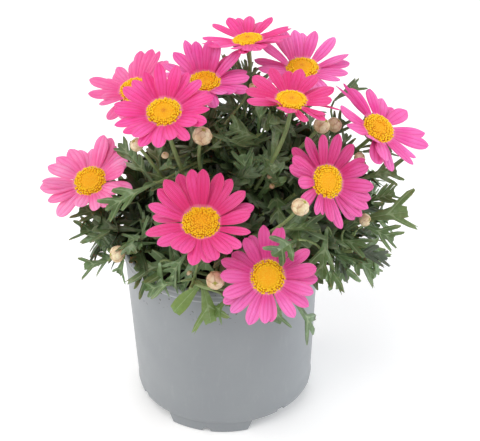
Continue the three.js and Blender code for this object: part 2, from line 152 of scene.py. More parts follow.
# Leaves seen in the picture: from and to, in its pixels with their depth along Y, then the pairs of
# lobes, the breadth beside other leaves, and the share of yellow in the green.
LEAVES_SEEN = (
    ((156, 183, -32), (105, 210, -36), 2, 0.8, 0.2),
    ((153, 182, -28), (118, 143, -12), 3, 0.7, 0.0),
    ((112, 216, 0), (79, 209, 0), 2, 1.3, 0.1),
    ((112, 231, -5), (80, 231, -5), 2, 1.3, 0.1),
    ((108, 261, -28), (84, 267, -28), 1, 0.9, 0.1),
    ((124, 259, -42), (119, 274, -42), 1, 0.8, 0.1),
    ((142, 250, -36), (149, 290, -49), 2, 0.9, 0.0),
    ((160, 262, -52), (162, 290, -55), 1, 1.0, 0.1),
    ((181, 281, -62), (144, 290, -48), 2, 0.5, 0.2),
    ((150, 238, -38), (128, 240, -36), 2, 1.1, 0.0),
    ((196, 252, -56), (190, 278, -58), 1, 1.3, 0.0),
    ((186, 254, -54), (172, 274, -56), 2, 1.0, 0.1),
    ((170, 240, -46), (176, 262, -50), 1, 1.2, 0.0),
    ((204, 246, -60), (206, 270, -62), 1, 1.1, 0.1),
    ((202, 283, -66), (211, 323, -70), 1, 1.5, 0.9),
    ((200, 284, -66), (174, 312, -70), 0, 1.7, 0.9),
    ((228, 300, -74), (215, 315, -68), 1, 1.0, 0.5),
    ((280, 300, -74), (277, 323, -64), 1, 1.0, 0.1),
    ((289, 295, -69), (314, 334, -55), 1, 1.0, 0.0),
    ((298, 240, -62), (272, 256, -84), 2, 1.0, 0.1),
    ((327, 228, -45), (322, 280, -58), 2, 0.9, 0.2),
    ((330, 232, -42), (347, 282, -45), 2, 0.9, 0.1),
    ((345, 250, -30), (376, 277, -30), 3, 1.0, 0.2),
    ((358, 240, -25), (382, 262, -25), 2, 1.0, 0.3),
    ((366, 226, -20), (394, 240, -20), 2, 1.0, 0.3),
    ((364, 219, -20), (408, 212, -20), 1, 1.5, 0.4),
    ((368, 201, -5), (395, 193, -5), 3, 1.0, 0.3),
    ((364, 178, 0), (397, 171, 0), 2, 1.0, 0.3),
    ((334, 101, 20), (358, 85, 20), 2, 0.9, 0.0),
    ((362, 152, 8), (392, 151, 8), 2, 0.9, 0.1),
    ((261, 140, -10), (229, 126, -12), 2, 0.8, 0.1),
    ((260, 141, -11), (238, 150, -20), 1, 1.2, 0.2),
    ((251, 186, -30), (242, 154, -28), 2, 0.9, 0.0),
    ((252, 184, -29), (258, 156, -26), 2, 0.8, 0.0),
    ((289, 168, -25), (264, 165, -30), 3, 0.9, 0.1),
    ((258, 134, -8), (263, 104, -8), 1, 0.7, 0.0),
    ((262, 133, -10), (274, 115, -10), 1, 0.6, 0.1),
    ((159, 170, -20), (172, 163, -22), 1, 0.8, 0.2),
    ((246, 112, 8), (236, 88, 12), 2, 1.0, 0.0),
    ((242, 122, 4), (226, 103, 8), 2, 1.0, 0.0),
    ((240, 98, 12), (247, 70, 16), 1, 1.1, 0.0),
    ((252, 120, 6), (262, 96, 14), 2, 1.0, 0.0),
    ((250, 98, 14), (256, 74, 18), 1, 1.1, 0.0),
    ((238, 108, 12), (222, 92, 14), 1, 1.2, 0.0),
    ((300, 150, 0), (322, 136, 4), 2, 1.0, 0.0),
    ((330, 142, 4), (344, 120, 8), 2, 1.0, 0.0),
    ((307, 217, -45), (290, 236, -56), 1, 1.6, 0.2),
    ((344, 230, -38), (363, 217, -36), 1, 1.2, 0.0),
    ((180, 262, -54), (171, 285, -58), 1, 1.1, 0.1),
    ((192, 274, -60), (181, 291, -60), 1, 1.1, 0.0),
    ((118, 222, -10), (97, 244, -14), 2, 1.2, 0.1),
)

# Young buds seen among the leaves: where, as above, then their width and how red they are.
YOUNG_BUDS_SEEN = (
    ((190, 273, -58), 3.6, 0.3),
    ((165, 155, -28), 3.8, 0.2),
    ((252, 86, 4), 3.4, 1.0),
    ((270, 176, -30), 3.2, 0.7),
    ((272, 186, -32), 2.8, 1.0),
)

# How wide each bud is.
BUD_WIDTHS = {
    "bud_upper_middle": 10.5, "bud_upper_left": 7.5, "bud_upper_right": 9.0,
    "bud_far_upper_right": 8.5, "bud_middle_right": 9.5, "bud_right": 6.5,
    "bud_low_right": 7.0, "bud_low_left": 9.5, "bud_low_front": 10.0,
}

# Rows of scales on a bud: where they start and how long they are as shares of it, how many, and half
# their breadth.
BUD_SCALES = (
    (0.03, 0.34, 6, 0.27), (0.18, 0.38, 6, 0.31), (0.34, 0.42, 6, 0.3),
    (0.52, 0.4, 5, 0.26), (0.62, 0.34, 4, 0.2),
)

# Stalks that carry small leaves nearly up to the flower, and how many.
LEAFY_STALKS = {"top": 24, "upper_right_back": 12, "upper_middle": 9, "right": 6}

# A petal's width is a share of its place round the disc, its base of its width, and a disc's dome of
# its radius.
PETAL = Values(rows=13, columns=13, width=1.24, thickness=0.36, base=0.44, ridge=0.34, tip=0.03)
DISC = Values(spacing=1.16, closed_spacing=0.8, dome=0.36, sides=6)
CUP = Values(depth=5.5, rim=1.12, bracts=13)
SCALE = Values(rows=6, columns=5)
STEM = Values(radius=1.15, sides=10, rings=22, ribs=5, rib_depth=0.09)

# Half a lobe's breadth and the wing beside the midrib are shares of a leaf's length.
LEAF = Values(length=41.0, thickness=0.55, lobe_width=0.098, wing=0.096)
FOLIAGE = Values(middle=np.array([13.0, 2.0, 104.0]), reach=np.array([74.0, 60.0, 84.0]), twigs=39, leaves=9)
ENVELOPE = Values(
    middle=np.array([13.0, 0.0, 100.0]), reach=np.array([101.0, 84.0, 99.0]), lowest=94.0, front_rise=15.0
)
POT = Values(
    height=110.0, rim=60.0, band=8.0, wall_top=59.2, wall_base=54.9, wall=1.4, floor=1.8, foot=7.8,
    foot_out=53.6, foot_in=49.1, pad=30.0, feet=3, foot_span=52.0, slope=4.0, first_foot=-11.0,
    notches=7, first_notch=-12.5, notch=2.6,
)


def unit(vector):
    vector = np.asarray(vector, float)
    return vector / np.linalg.norm(vector)


def lengths(vectors):
    return np.linalg.norm(vectors, axis=-1)


def camera_axes():
    """The directions to the right of, up from and ahead of the camera."""
    view = math.radians(CAMERA.elevation)
    roll = math.radians(CAMERA.roll)
    level = np.array([1.0, 0.0, 0.0])
    above = np.array([0.0, math.sin(view), math.cos(view)])
    right = level * math.cos(roll) + above * math.sin(roll)
    up = above * math.cos(roll) - level * math.sin(roll)
    return right, up, np.array([0.0, math.cos(view), -math.sin(view)])


CAMERA_RIGHT, CAMERA_UP, CAMERA_AHEAD = camera_axes()
CAMERA_AT = (np.array(CAMERA.aim) - CAMERA_AHEAD * CAMERA.distance) / MM


def sight(x, y):
    """The direction from the camera through a place in the picture, given in its pixels."""
    pixels = CAMERA.lens / CAMERA.sensor * PICTURE.width
    across = (x - PICTURE.width / 2) / pixels
    up = (PICTURE.height / 2 - y) / pixels
    return unit(CAMERA_AHEAD + CAMERA_RIGHT * across + CAMERA_UP * up)


def seen_at(x, y, depth):
    """The point that is seen at a place in the picture, at a depth along Y."""
    ahead = sight(x, y)
    return CAMERA_AT + ahead * (depth - CAMERA_AT[1]) / ahead[1]


def node_points(node):
    """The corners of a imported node."""
    mesh = frame["nodes"][node].data
    flat = np.empty(len(mesh.vertices) * 3, np.float32)
    mesh.vertices.foreach_get("co", flat)
    return flat.reshape(-1, 3).astype(float) / MM


def basis(ahead, above=UP):
    """A turn whose X runs ahead and whose Z is as near to above as it can be; its columns are the axes."""
    ahead = unit(ahead)
    across = np.cross(above, ahead)
    if np.linalg.norm(across) < 1e-3:
        across = np.cross((0.0, 1.0, 0.0), ahead)
    across = unit(across)
    return np.column_stack([ahead, across, np.cross(ahead, across)])


def standing(along, above=UP):
    """A turn whose Z runs along a direction."""
    return basis(along, above)[:, [1, 2, 0]]


class Piece:
    """Gathers closed surfaces into one object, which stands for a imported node."""

    # Besides real colour marks, the third value carries painted shade on petals, the fourth painted light on
    # petals and painted shade on discs, and the fifth painted shade on leaves deep inside the plant.
    VALUES = ("along", "across", "tone", "vein", "dusk")

    def __init__(self, name):
        self.name = name
        self.points = []
        self.faces = []
        self.looks = []
        self.values = {key: [] for key in self.VALUES}
        self.materials = []
        self.count = 0

    def add(self, points, faces, slot, **values):
        material = MATERIALS[slot]
        if material not in self.materials:
            self.materials.append(material)
        for key in self.VALUES:
            self.values[key].append(np.broadcast_to(np.asarray(values.get(key, 0.0), float), (len(points),)))
        self.points.append(points)
        self.faces.extend(tuple(corner + self.count for corner in face) for face in faces)
        self.looks.extend([self.materials.index(material)] * len(faces))
        self.count += len(points)

    def build(self, node, sharp=50.0):
        mesh = bpy.data.meshes.new(self.name)
        mesh.from_pydata((np.concatenate(self.points) * MM).tolist(), [], self.faces)
        for material in self.materials:
            mesh.materials.append(material)
        mesh.polygons.foreach_set("material_index", self.looks)
        for key, parts in self.values.items():
            layer = mesh.attributes.new(key, "FLOAT", "POINT")
            layer.data.foreach_set("value", np.concatenate(parts).astype(np.float32))
        mesh.shade_smooth()
        mesh.set_sharp_from_angle(angle=math.radians(sharp))
        piece = bpy.data.objects.new(self.name, mesh)
        bpy.context.scene.collection.objects.link(piece)
        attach(piece, "root")
        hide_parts(node)


def sheet_faces(rows, columns):
    """The faces of a thin closed sheet: an upper grid, and a lower one that shares its rim."""
    upper = np.arange(rows * columns).reshape(rows, columns)
    lower = upper.copy()
    inside = np.arange((rows - 2) * (columns - 2)).reshape(rows - 2, columns - 2)
    lower[1:-1, 1:-1] = rows * columns + inside
    faces = []
    for grid, order in ((upper, slice(None)), (lower, slice(None, None, -1))):
        quads = np.stack([grid[:-1, :-1], grid[1:, :-1], grid[1:, 1:], grid[:-1, 1:]], axis=-1).reshape(-1, 4)
        faces.extend(map(tuple, quads[:, order].tolist()))
    return faces


def sheet(middle, offset, *values):
    """The points of a thin closed sheet, from its middle surface (rows, columns, 3) and the way from
    there to its upper side, and values given by row and column, one for each point."""
    points = [(middle + offset).reshape(-1, 3), (middle - offset)[1:-1, 1:-1].reshape(-1, 3)]
    grids = [np.broadcast_to(value, middle.shape[:2]) for value in values]
    return np.concatenate(points), *(np.append(grid, grid[1:-1, 1:-1]) for grid in grids)


def bent(points, length, bend, twist=0.0):
    """Bends a shape that lies along X downwards by an angle over its length, and twists it about X."""
    turn = math.radians(twist) * np.clip(points[:, 0] / length, -0.2, 1.2)
    y = points[:, 1] * np.cos(turn) - points[:, 2] * np.sin(turn)
    z = points[:, 1] * np.sin(turn) + points[:, 2] * np.cos(turn)
    curve = math.radians(bend) / length
    if abs(curve) < 1e-6:
        return np.column_stack([points[:, 0], y, z])
    angle = curve * points[:, 0]
    x_bent = np.sin(angle) / curve + z * np.sin(angle)
    z_bent = (np.cos(angle) - 1) / curve + z * np.cos(angle)
    return np.column_stack([x_bent, y, z_bent])


def laid(start, end, above, bend):
    """The length and the turn of a shape along X that is bent down by an angle and still runs from start
    to end."""
    chord = end - start
    half = math.radians(bend) / 2
    length = np.linalg.norm(chord) * (half / math.sin(half) if abs(half) > 1e-3 else 1.0)
    along = unit(chord)
    lifted = unit(above - along * (above @ along))
    return length, basis(along * math.cos(half) + lifted * math.sin(half), above)


def bezier(controls, shares):
    """Points of a cubic curve, and the directions it runs in there."""
    a, b, c, d = controls
    t = np.asarray(shares)[:, None]
    s = 1 - t
    points = s**3 * a + 3 * s * s * t * b + 3 * s * t * t * c + t**3 * d
    tangents = 3 * s * s * (b - a) + 6 * s * t * (c - b) + 3 * t * t * (d - c)
    return points, tangents / lengths(tangents)[:, None]


def ring_faces(rings, sides):
    """The faces between rings of points, which run one after another."""
    pairs = [(k, (k + 1) % sides) for k in range(sides)]
    starts = range(0, (rings - 1) * sides, sides)
    return [(at + a, at + b, at + b + sides, at + a + sides) for at in starts for a, b in pairs]


def swept(points, radii, sides, ribs, rib_depth):
    """A ribbed bar along points, with a radius at each: its surface points and faces."""
    tangents = np.gradient(points, axis=0)
    tangents /= lengths(tangents)[:, None]
    turn = np.linspace(0, 2 * math.pi, sides, endpoint=False)
    shape = 1 + rib_depth * np.cos(ribs * turn)
    side = np.array([1.0, 0.0, 0.0]) if abs(tangents[0][0]) < 0.9 else np.array([0.0, 1.0, 0.0])
    rings = []
    for point, along, radius in zip(points, tangents, radii):
        side = unit(side - along * side.dot(along))
        circle = np.cos(turn)[:, None] * side + np.sin(turn)[:, None] * np.cross(along, side)
        rings.append(point + circle * (radius * shape)[:, None])
    last = (len(points) - 1) * sides
    ends = [tuple(range(sides))[::-1], tuple(range(last, last + sides))]
    return np.concatenate(rings), ring_faces(len(points), sides) + ends


def lathe(profile, turn, wobble=None):
    """Points and faces round Z, from (radius, height) pairs that start and end on it. The turn is a
    number of even steps, or the angles themselves, and then a height may be a list with one for each
    angle."""
    if np.ndim(turn) == 0:
        turn = np.linspace(0, 2 * math.pi, turn, endpoint=False)
    sides = len(turn)
    rings = []
    for radius, height in profile[1:-1]:
        level = np.broadcast_to(height, sides)
        rings.append(np.column_stack([np.cos(turn) * radius, np.sin(turn) * radius, level]))
    points = np.concatenate(rings + [[[0, 0, profile[0][1]], [0, 0, profile[-1][1]]]])
    faces = ring_faces(len(rings), sides)
    bottom = len(rings) * sides
    last = bottom - sides
    for k in range(sides):
        faces.append((bottom, (k + 1) % sides, k))
        faces.append((bottom + 1, last + k, last + (k + 1) % sides))
    return (wobble(points) if wobble else points), faces


# Materials


def srgb(red, green, blue):
    """A colour given in 0 to 255 screen values, as the shader's linear values."""
    channels = [c / 255 for c in (red, green, blue)]
    return tuple(c / 12.92 if c <= 0.04045 else ((c + 0.055) / 1.055) ** 2.4 for c in channels) + (1.0,)


def grey(value):
    return (value, value, value, 1.0)


class Shader:
    """Lays out the nodes of one material, whose body colour is built up in layers."""

    def __init__(self, name, **inputs):
        self.material = bpy.data.materials.new(name)
        self.material.use_nodes = True
        self.tree = self.material.node_tree
        self.surface = self.tree.nodes["Principled BSDF"]
        self.body = None
        for key, value in inputs.items():
            self.set(key.replace("_", " "), value)

    def plug(self, socket, value):
        if isinstance(value, bpy.types.NodeSocket):
            self.tree.links.new(value, socket)
        else:
            socket.default_value = value

    def set(self, key, value):
        self.plug(self.surface.inputs[key], value)

    def node(self, kind, inputs, **settings):
        """A new node, with settings, and with values or other nodes' outputs in its inputs."""
        node = self.tree.nodes.new(kind)
        for key, value in settings.items():
            setattr(node, key, value)
        for key, value in inputs.items():
            self.plug(node.inputs[key], value)
        return node

    def value(self, name):
        return self.node("ShaderNodeAttribute", {}, attribute_name=name).outputs["Fac"]

    def noise(self, scale, detail=3.0, roughness=0.55, stretch=None):
        place = self.node("ShaderNodeTexCoord", {}).outputs["Object"]
        if stretch:
            place = self.node("ShaderNodeMapping", {"Vector": place, "Scale": stretch}).outputs[0]
        inputs = {"Vector": place, "Scale": scale, "Detail": detail, "Roughness": roughness}
        return self.node("ShaderNodeTexNoise", inputs).outputs[0]

    def math(self, operation, a, b=0.0):
        return self.node("ShaderNodeMath", {0: a, 1: b}, operation=operation).outputs[0]

    def times(self, a, b):
        return self.math("MULTIPLY", a, b)

    def ramp(self, factor, *stops):
        node = self.node("ShaderNodeValToRGB", {"Fac": factor})
        elements = node.color_ramp.elements
        while len(elements) < len(stops):
            elements.new(0.5)
        for element, (place, colour) in zip(elements, stops):
            element.position = place
            element.color = colour
        return node.outputs[0]

    def mask(self, factor, low, high, ends=(0, 1)):
        """Goes from the first end to the other where the factor goes from low to high."""
        return self.ramp(factor, (low, grey(ends[0])), (high, grey(ends[1])))

    def mix(self, factor, a, b):
        return self.node("ShaderNodeMix", {0: factor, 6: a, 7: b}, data_type="RGBA").outputs[2]

    def tint(self, mask, strength, colour):
        """Lays a colour over the body where a mask is light."""
        self.body = self.mix(self.times(mask, strength), self.body, colour)

    def done(self, height, distance, strength):
        """The material, with its body colour and with a bump from a height."""
        self.set("Base Color", self.body)
        bump = self.node("ShaderNodeBump", {"Height": height, "Distance": distance, "Strength": strength})
        self.set("Normal", bump.outputs[0])
        return self.material


def petal_material(slot, pale, full, rich):
    """Petals: pale ridges with painted shade in the grooves between them, painted shade towards the disc,
    along the edges and on the PHOTO_UP side, painted light on the other side, fine veins, a light rim and a
    whitish foot.
    """
    shade = Shader(slot, Roughness=0.52, Specular_IOR_Level=0.35, Subsurface_Weight=0.16,
                   Subsurface_Scale=0.004, Subsurface_Radius=(1.0, 0.35, 0.5))
    along = shade.value("along")
    sideways = shade.value("across")
    across = shade.math("ABSOLUTE", sideways)
    light = shade.value("vein")
    shade.body = shade.ramp(shade.noise(90, 4.0), (0.35, full), (0.75, pale))
    # Painted light: paler on the petals away from the PHOTO_UP side, besides random and set paleness.
    shade.tint(light, 0.5, pale)
    # Painted shade: a richer, darker colour in the grooves between the ridges.
    ridge = shade.math("COSINE", shade.times(sideways, 3 * math.pi))
    shade.tint(shade.mask(shade.times(ridge, -1.0), 0.3, 1.0), 0.4, rich)
    wavy = shade.math("ADD", shade.times(sideways, 37.0), shade.times(shade.noise(260), 1.6))
    veins = shade.math("SINE", wavy)
    shade.tint(shade.mask(veins, 0.5, 1.0), 0.3, rich)
    # Painted shade: darker towards the disc, where the petals meet it.
    shade.tint(shade.mask(along, 0.14, 0.62, (1, 0)), 0.45, rich)
    # Painted shade on the petals behind the disc, mixed with rich colour and random tone.
    shade.tint(shade.value("tone"), 0.6, rich)
    # Painted shade along the petals' edges, where they overlap.
    shade.tint(shade.mask(across, 0.66, 0.88), 0.34, rich)
    glow = shade.mix(0.5, pale, srgb(255, 214, 236))
    outer = shade.mask(along, 0.3, 0.9, (0.25, 1))
    # Pale veins on the outer part, made stronger by the painted light value.
    light_veins = shade.times(shade.mask(shade.times(veins, -1.0), 0.55, 1.0), outer)
    shade.tint(shade.times(light_veins, shade.math("ADD", light, 0.25)), 0.42, glow)
    shade.tint(shade.times(shade.mask(across, 0.9, 0.98), outer), 0.28, glow)
    shade.tint(shade.mask(along, 0.05, 0.16, (1, 0)), 0.55, srgb(255, 196, 218))
    return shade.done(shade.math("ADD", veins, shade.noise(900, 2.0)), 0.00012, 0.4)


def disc_material():
    """Discs: florets that turn from orange to yellow outwards, with painted shade at their feet and in the
    gaps between the open ones.
    """
    shade = Shader("disc", Roughness=0.65, Specular_IOR_Level=0.3, Subsurface_Weight=0.15,
                   Subsurface_Scale=0.002)
    stops = ((0.0, srgb(250, 170, 8)), (0.45, srgb(252, 178, 8)), (0.68, srgb(255, 202, 10)),
             (1.0, srgb(255, 212, 24)))
    shade.body = shade.ramp(shade.value("along"), *stops)
    shade.tint(shade.mask(shade.noise(1400), 0.4, 0.7), 0.5, srgb(255, 226, 70))
    # Painted shade at the florets' feet and in the gaps between the open ones.
    shade.tint(shade.value("vein"), 0.9, srgb(212, 132, 12))
    shade.tint(shade.value("tone"), 0.85, srgb(226, 120, 30))
    return shade.done(shade.noise(2500, 2.0), 0.00008, 0.4)


def leaf_material():
    """Leaves: a grey bloom over green, paler veins, and painted shade on those deep inside the plant."""
    shade = Shader("leaf", Subsurface_Weight=0.08, Subsurface_Scale=0.002)
    deep = srgb(58, 80, 42)
    full = srgb(94, 122, 74)
    bloom = srgb(156, 180, 150)
    shade.body = shade.ramp(shade.noise(70, 5.0, 0.65), (0.36, deep), (0.54, full), (0.72, bloom))
    shade.tint(shade.value("tone"), 0.7, srgb(122, 150, 66))
    veins = shade.mask(shade.value("vein"), 0.72, 0.98)
    shade.tint(veins, 0.45, srgb(168, 188, 144))
    shade.tint(shade.mask(shade.noise(600), 0.38, 0.7), 0.22, deep)
    # Painted shade: darker leaves deep inside the plant.
    shade.tint(shade.value("dusk"), 0.85, srgb(36, 45, 26))
    shade.set("Roughness", shade.mask(shade.noise(200), 0.3, 0.7, (0.38, 0.6)))
    return shade.done(shade.math("ADD", veins, shade.noise(800)), 0.0002, 0.45)


def stalk_material():
    """Stalks: green, with paler streaks along them."""
    shade = Shader("stalk", Roughness=0.5, Subsurface_Weight=0.08, Subsurface_Scale=0.002)
    shade.body = shade.ramp(shade.noise(120, 4.0), (0.3, srgb(92, 112, 62)), (0.7, srgb(132, 150, 92)))
    streak = shade.mask(shade.noise(500, 2.0, stretch=(1.0, 1.0, 0.12)), 0.45, 0.65)
    shade.tint(streak, 0.3, srgb(160, 174, 120))
    return shade.done(streak, 0.0002, 0.4)


def bud_material():
    """Buds: dry papery scales, cream to tan, brown towards their rims, round a yellow-green mouth."""
    shade = Shader("bud", Roughness=0.52, Subsurface_Weight=0.1, Subsurface_Scale=0.002)
    across = shade.value("across")
    shade.body = shade.ramp(shade.noise(260, 4.0), (0.32, srgb(221, 190, 142)), (0.66, srgb(252, 238, 200)))
    shade.tint(shade.mask(shade.math("ABSOLUTE", across), 0.66, 0.95), 0.62, srgb(176, 116, 80))
    shade.tint(shade.value("tone"), 0.35, srgb(214, 140, 108))
    shade.tint(shade.value("vein"), 1.0, srgb(166, 160, 58))
    lines = shade.math("SINE", shade.times(across, 22.0))
    return shade.done(shade.math("ADD", lines, shade.noise(900)), 0.0001, 0.4)


def pot_material():
    """The pot: grey moulded plastic, faintly mottled and scuffed, streaked round the rim's band, with two
    painted highlight lines there and a few dark specks of soil."""
    shade = Shader("pot")
    along = shade.value("along")
    shade.body = shade.ramp(shade.noise(26, 5.0, 0.6), (0.3, srgb(138, 142, 146)), (0.7, srgb(144, 148, 151)))
    scuff = shade.mask(shade.noise(240, 6.0, 0.7, stretch=(1.0, 1.0, 0.25)), 0.56, 0.72)
    shade.tint(scuff, 0.12, srgb(176, 178, 180))
    band = (POT.height - POT.band) / POT.height
    streaks = shade.mask(shade.noise(120, 5.0, 0.7, stretch=(0.3, 0.3, 4.0)), 0.35, 0.65, (0.2, 1))
    shade.tint(shade.times(streaks, 0.45), shade.math("GREATER_THAN", along, band), srgb(112, 112, 110))
    # Painted highlights: two light lines along the rim's band, where its edges catch the light.
    for height, strength in ((band, 0.6), (band + 0.035, 0.35)):
        line = shade.math("ABSOLUTE", shade.math("SUBTRACT", along, height))
        shade.tint(shade.mask(line, 0.002, 0.007, (1, 0)), strength, srgb(206, 208, 212))
    near_rim = shade.mask(along, 0.72, 0.92)
    shade.tint(shade.mask(shade.noise(420, 2.0, 0.5), 0.68, 0.7), near_rim, srgb(70, 62, 56))
    shade.set("Roughness", shade.mask(shade.noise(60, 4.0), 0.3, 0.7, (0.38, 0.5)))
    return shade.done(shade.noise(1500), 0.00006, 0.35)


def soil_material():
    """The growing medium: dark crumbs, some of them pale."""
    shade = Shader("soil", Roughness=0.95)
    stops = ((0.3, srgb(28, 21, 16)), (0.55, srgb(54, 40, 29)), (0.8, srgb(92, 70, 50)))
    shade.body = shade.ramp(shade.noise(180, 6.0, 0.7), *stops)
    shade.tint(shade.value("tone"), 0.8, srgb(150, 138, 122))
    return shade.done(shade.noise(500, 6.0, 0.7), 0.0008, 0.8)


def crown_material():
    """The woody crown: brown bark mottled with greenish patches."""
    shade = Shader("crown", Roughness=0.85)
    bark = shade.noise(160, 6.0, 0.7, stretch=(1.0, 1.0, 0.3))
    stops = ((0.3, srgb(62, 48, 32)), (0.6, srgb(104, 88, 58)), (0.8, srgb(120, 116, 74)))
    shade.body = shade.ramp(bark, *stops)
    return shade.done(bark, 0.0008, 0.8)


# The pale, full and rich colours of the petals.
PETAL_COLOURS = {
    "petal_light": ((255, 172, 216), (255, 112, 182), (238, 52, 136)),
    "petal_pink": ((255, 134, 210), (255, 72, 174), (216, 24, 118)),
    "petal_deep": ((255, 100, 186), (255, 44, 148), (216, 6, 90)),
    "petal_magenta": ((255, 116, 200), (255, 50, 154), (190, 6, 86)),
}
MATERIALS = {slot: petal_material(slot, *(srgb(*c) for c in rows)) for slot, rows in PETAL_COLOURS.items()}
MATERIALS["disc"] = disc_material()
MATERIALS["leaf"] = leaf_material()
MATERIALS["stalk"] = stalk_material()
MATERIALS["bud"] = bud_material()
MATERIALS["pot"] = pot_material()
MATERIALS["soil"] = soil_material()
MATERIALS["crown"] = crown_material()


# Where things are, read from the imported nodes


def crown_shape():
    """The middle and the half sizes of the dome that all the stems spring from."""
    points = node_points("woody_crown")
    out = np.hypot(points[:, 0], points[:, 1])
    level = points[np.argmax(out)][2]
    return UP * level, np.array([out.max(), out.max(), points[:, 2].max() - level])


CROWN_MIDDLE, CROWN_REACH = crown_shape()


def spring_of(node):
    """Where a stem's node leaves the crown: the middle of its end that is nearest to the dome."""
    points = node_points(node)
    nearest = points[np.argmin(lengths((points - CROWN_MIDDLE) / CROWN_REACH))]
    return points[lengths(points - nearest) < 3.0].mean(axis=0)


def end_of(node, start):
    """The far end of a stem's node: the corner that is furthest from its start."""
    points = node_points(node)
    return points[np.argmax(lengths(points - start))]


def stem_controls(start, end, arriving):
    """The curve of a stem: out of the crown, then over to its end, arriving along a direction."""
    normal = unit((start - CROWN_MIDDLE) / CROWN_REACH**2)
    leaving = unit(normal * 0.75 + UP * 0.25)
    reach = np.linalg.norm(end - start)
    return start, start + leaving * reach * 0.35, end - arriving * reach * 0.35, end


def head_of(name):
    """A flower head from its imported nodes: the middle of the disc's foot, the axis, the disc's radius,
    how far its petals reach, and the turn that stands a shape on it."""
    points = node_points(f"flower_{name}_disc")
    middle = points.mean(axis=0)
    axis = np.linalg.svd(points - middle)[2][2]
    height = (points - middle) @ axis
    out = lengths(points - middle - height[:, None] * axis)
    if out[np.argmax(height)] > out[np.argmin(height)]:
        axis = -axis
        height = -height
    foot = middle + axis * height.min()
    petals = node_points(f"flower_{name}_petals") - foot
    reach = lengths(petals - (petals @ axis)[:, None] * axis).max()
    return Values(foot=foot, axis=axis, disc=out.max(), reach=reach, turn=standing(axis))


def narrow_rings(node):
    """The middles of the narrow rings of a node: the places where six or more corners lie close
    together."""
    points = np.unique(node_points(node).round(2), axis=0)
    near = (points[lengths(points - point) < 1.97] for point in points)
    return np.array([close.mean(axis=0) for close in near if len(close) >= 6])


def bud_of(node):
    """A bud's start, foot, direction and width: its tip is the narrow ring of its node that is furthest
    from the start, and its foot is the one that lies a bud's height from the tip."""
    width = BUD_WIDTHS[node]
    start = spring_of(node)
    rings = narrow_rings(node)
    last = rings[np.argmax(lengths(rings - start))]
    tip = rings[lengths(rings - last) < 1.0].mean(axis=0)
    miss = np.abs(lengths(rings - tip) - 0.95 * width)
    foot = rings[miss < miss.min() + 0.25].mean(axis=0)
    axis = unit(tip - foot)
    return Values(start=start, foot=foot, axis=axis, width=width, middle=foot + axis * width * 0.5)


HEADS = {name: head_of(name) for name in FLOWERS}
BUDS = {node: bud_of(node) for node in sorted(BUD_WIDTHS)}
SHOOTS = sorted(node for node in SLOTS if node.startswith("leafy_shoot_"))


# Flowers


PETAL_FACES = sheet_faces(PETAL.rows, PETAL.columns)


def petal_points(length, width, rng):
    """One petal along +X with its upper side up: three long ridges, and a blunt, slightly notched tip."""
    u = 1 - (1 - np.linspace(0, 1, PETAL.rows)[:, None]) ** 1.45
    v = np.linspace(-1, 1, PETAL.columns)[None, :]
    off = np.abs(v)
    widest = rng.uniform(0.52, 0.66)
    notch = rng.uniform(-0.03, 0.03)
    skew = rng.uniform(-0.1, 0.1)
    arch = rng.uniform(0.02, 0.3)
    outline = PETAL.base + (1 - PETAL.base) * np.sin(np.clip(u / widest, 0, 1) * math.pi / 2) ** 1.1
    outline *= 1 - 0.1 * np.clip((u - widest) / (1 - widest), 0, 1) ** 1.5
    outline *= np.sqrt(1 - 0.9 * np.clip((u - 0.7) / 0.3, 0, 1) ** 2)
    short = PETAL.tip * off**2 + np.exp(-(((off - 0.45) / 0.2) ** 2)) * max(notch, 0.0)
    x = length * u * (1 - short * u**4)
    y = width / 2 * outline * v + skew * width * u**2 * (1 - 0.4 * u)
    ridge = PETAL.ridge * np.cos(3 * math.pi * v) * np.sin(math.pi * np.clip(u * 0.9 + 0.06, 0, 1))
    wave = 0.25 * np.sin(u * rng.uniform(4, 8) + rng.uniform(0, 6)) * v * u
    z = ridge * (1 - 0.6 * off) - arch * off**2 * outline * width / 4 + wave
    middle = np.stack(np.broadcast_arrays(x, y, z), axis=-1)
    lift = PETAL.thickness / 2 * np.sqrt(np.clip(1 - off**3, 0, 1))
    return sheet(middle, lift[..., None] * UP, u, v)


def seen_tip(head, x, y, reach):
    """A petal's tip from the head's foot, on the line of sight through a place in the picture."""
    ahead = sight(x, y)
    nearest = (head.foot - CAMERA_AT) @ ahead
    miss = CAMERA_AT + ahead * nearest - head.foot
    for share in (1.0, 0.92, 0.84, 0.76, 0.68):
        spread = math.sqrt(max((reach * share) ** 2 - miss @ miss, 0.0))
        tip = min((miss - ahead * spread, miss + ahead * spread), key=lambda c: abs(c @ head.axis - 3.0))
        if abs(tip @ head.axis) < 0.34 * reach:
            break
    return tip


def petal_tips(name, rng):
    """The tips of a head's petals from its foot, and their breadths: those seen, then even ones between
    them."""
    look = FLOWERS[name]
    head = HEADS[name]
    side, level = head.turn[:, 0], head.turn[:, 1]
    reach = head.reach * look.long
    tips = []
    for x, y, *broad in PETALS_SEEN.get(name, ()):
        tip = seen_tip(head, x, y, reach * rng.uniform(0.97, 1.03))
        tips.append((math.atan2(tip @ side, tip @ level), tip, broad[0] if broad else 1.0))
    tips.sort(key=lambda row: row[0])
    angles = [row[0] for row in tips] or [math.radians(FIRST_PETALS[name])]
    step = 2 * math.pi / look.petals
    for first, last in zip(angles, angles[1:] + [angles[0] + 2 * math.pi]):
        between = max(round((last - first) / step - 0.25) - 1, 0) if tips else look.petals
        for k in range(between):
            angle = first + (last - first) * (k + 1 + rng.uniform(-0.18, 0.18)) / (between + 1)
            long = reach * rng.uniform(0.92, 1.04)
            lift = math.radians(look.rise + rng.normal(0, look.uneven * 0.5))
            out = math.cos(angle) * level + math.sin(angle) * side
            tips.append((angle, long * (out * math.cos(lift) + head.axis * math.sin(lift)), 1.0))
    tips.sort(key=lambda row: row[0] % (2 * math.pi))
    return [(tip, broad) for _, tip, broad in tips]


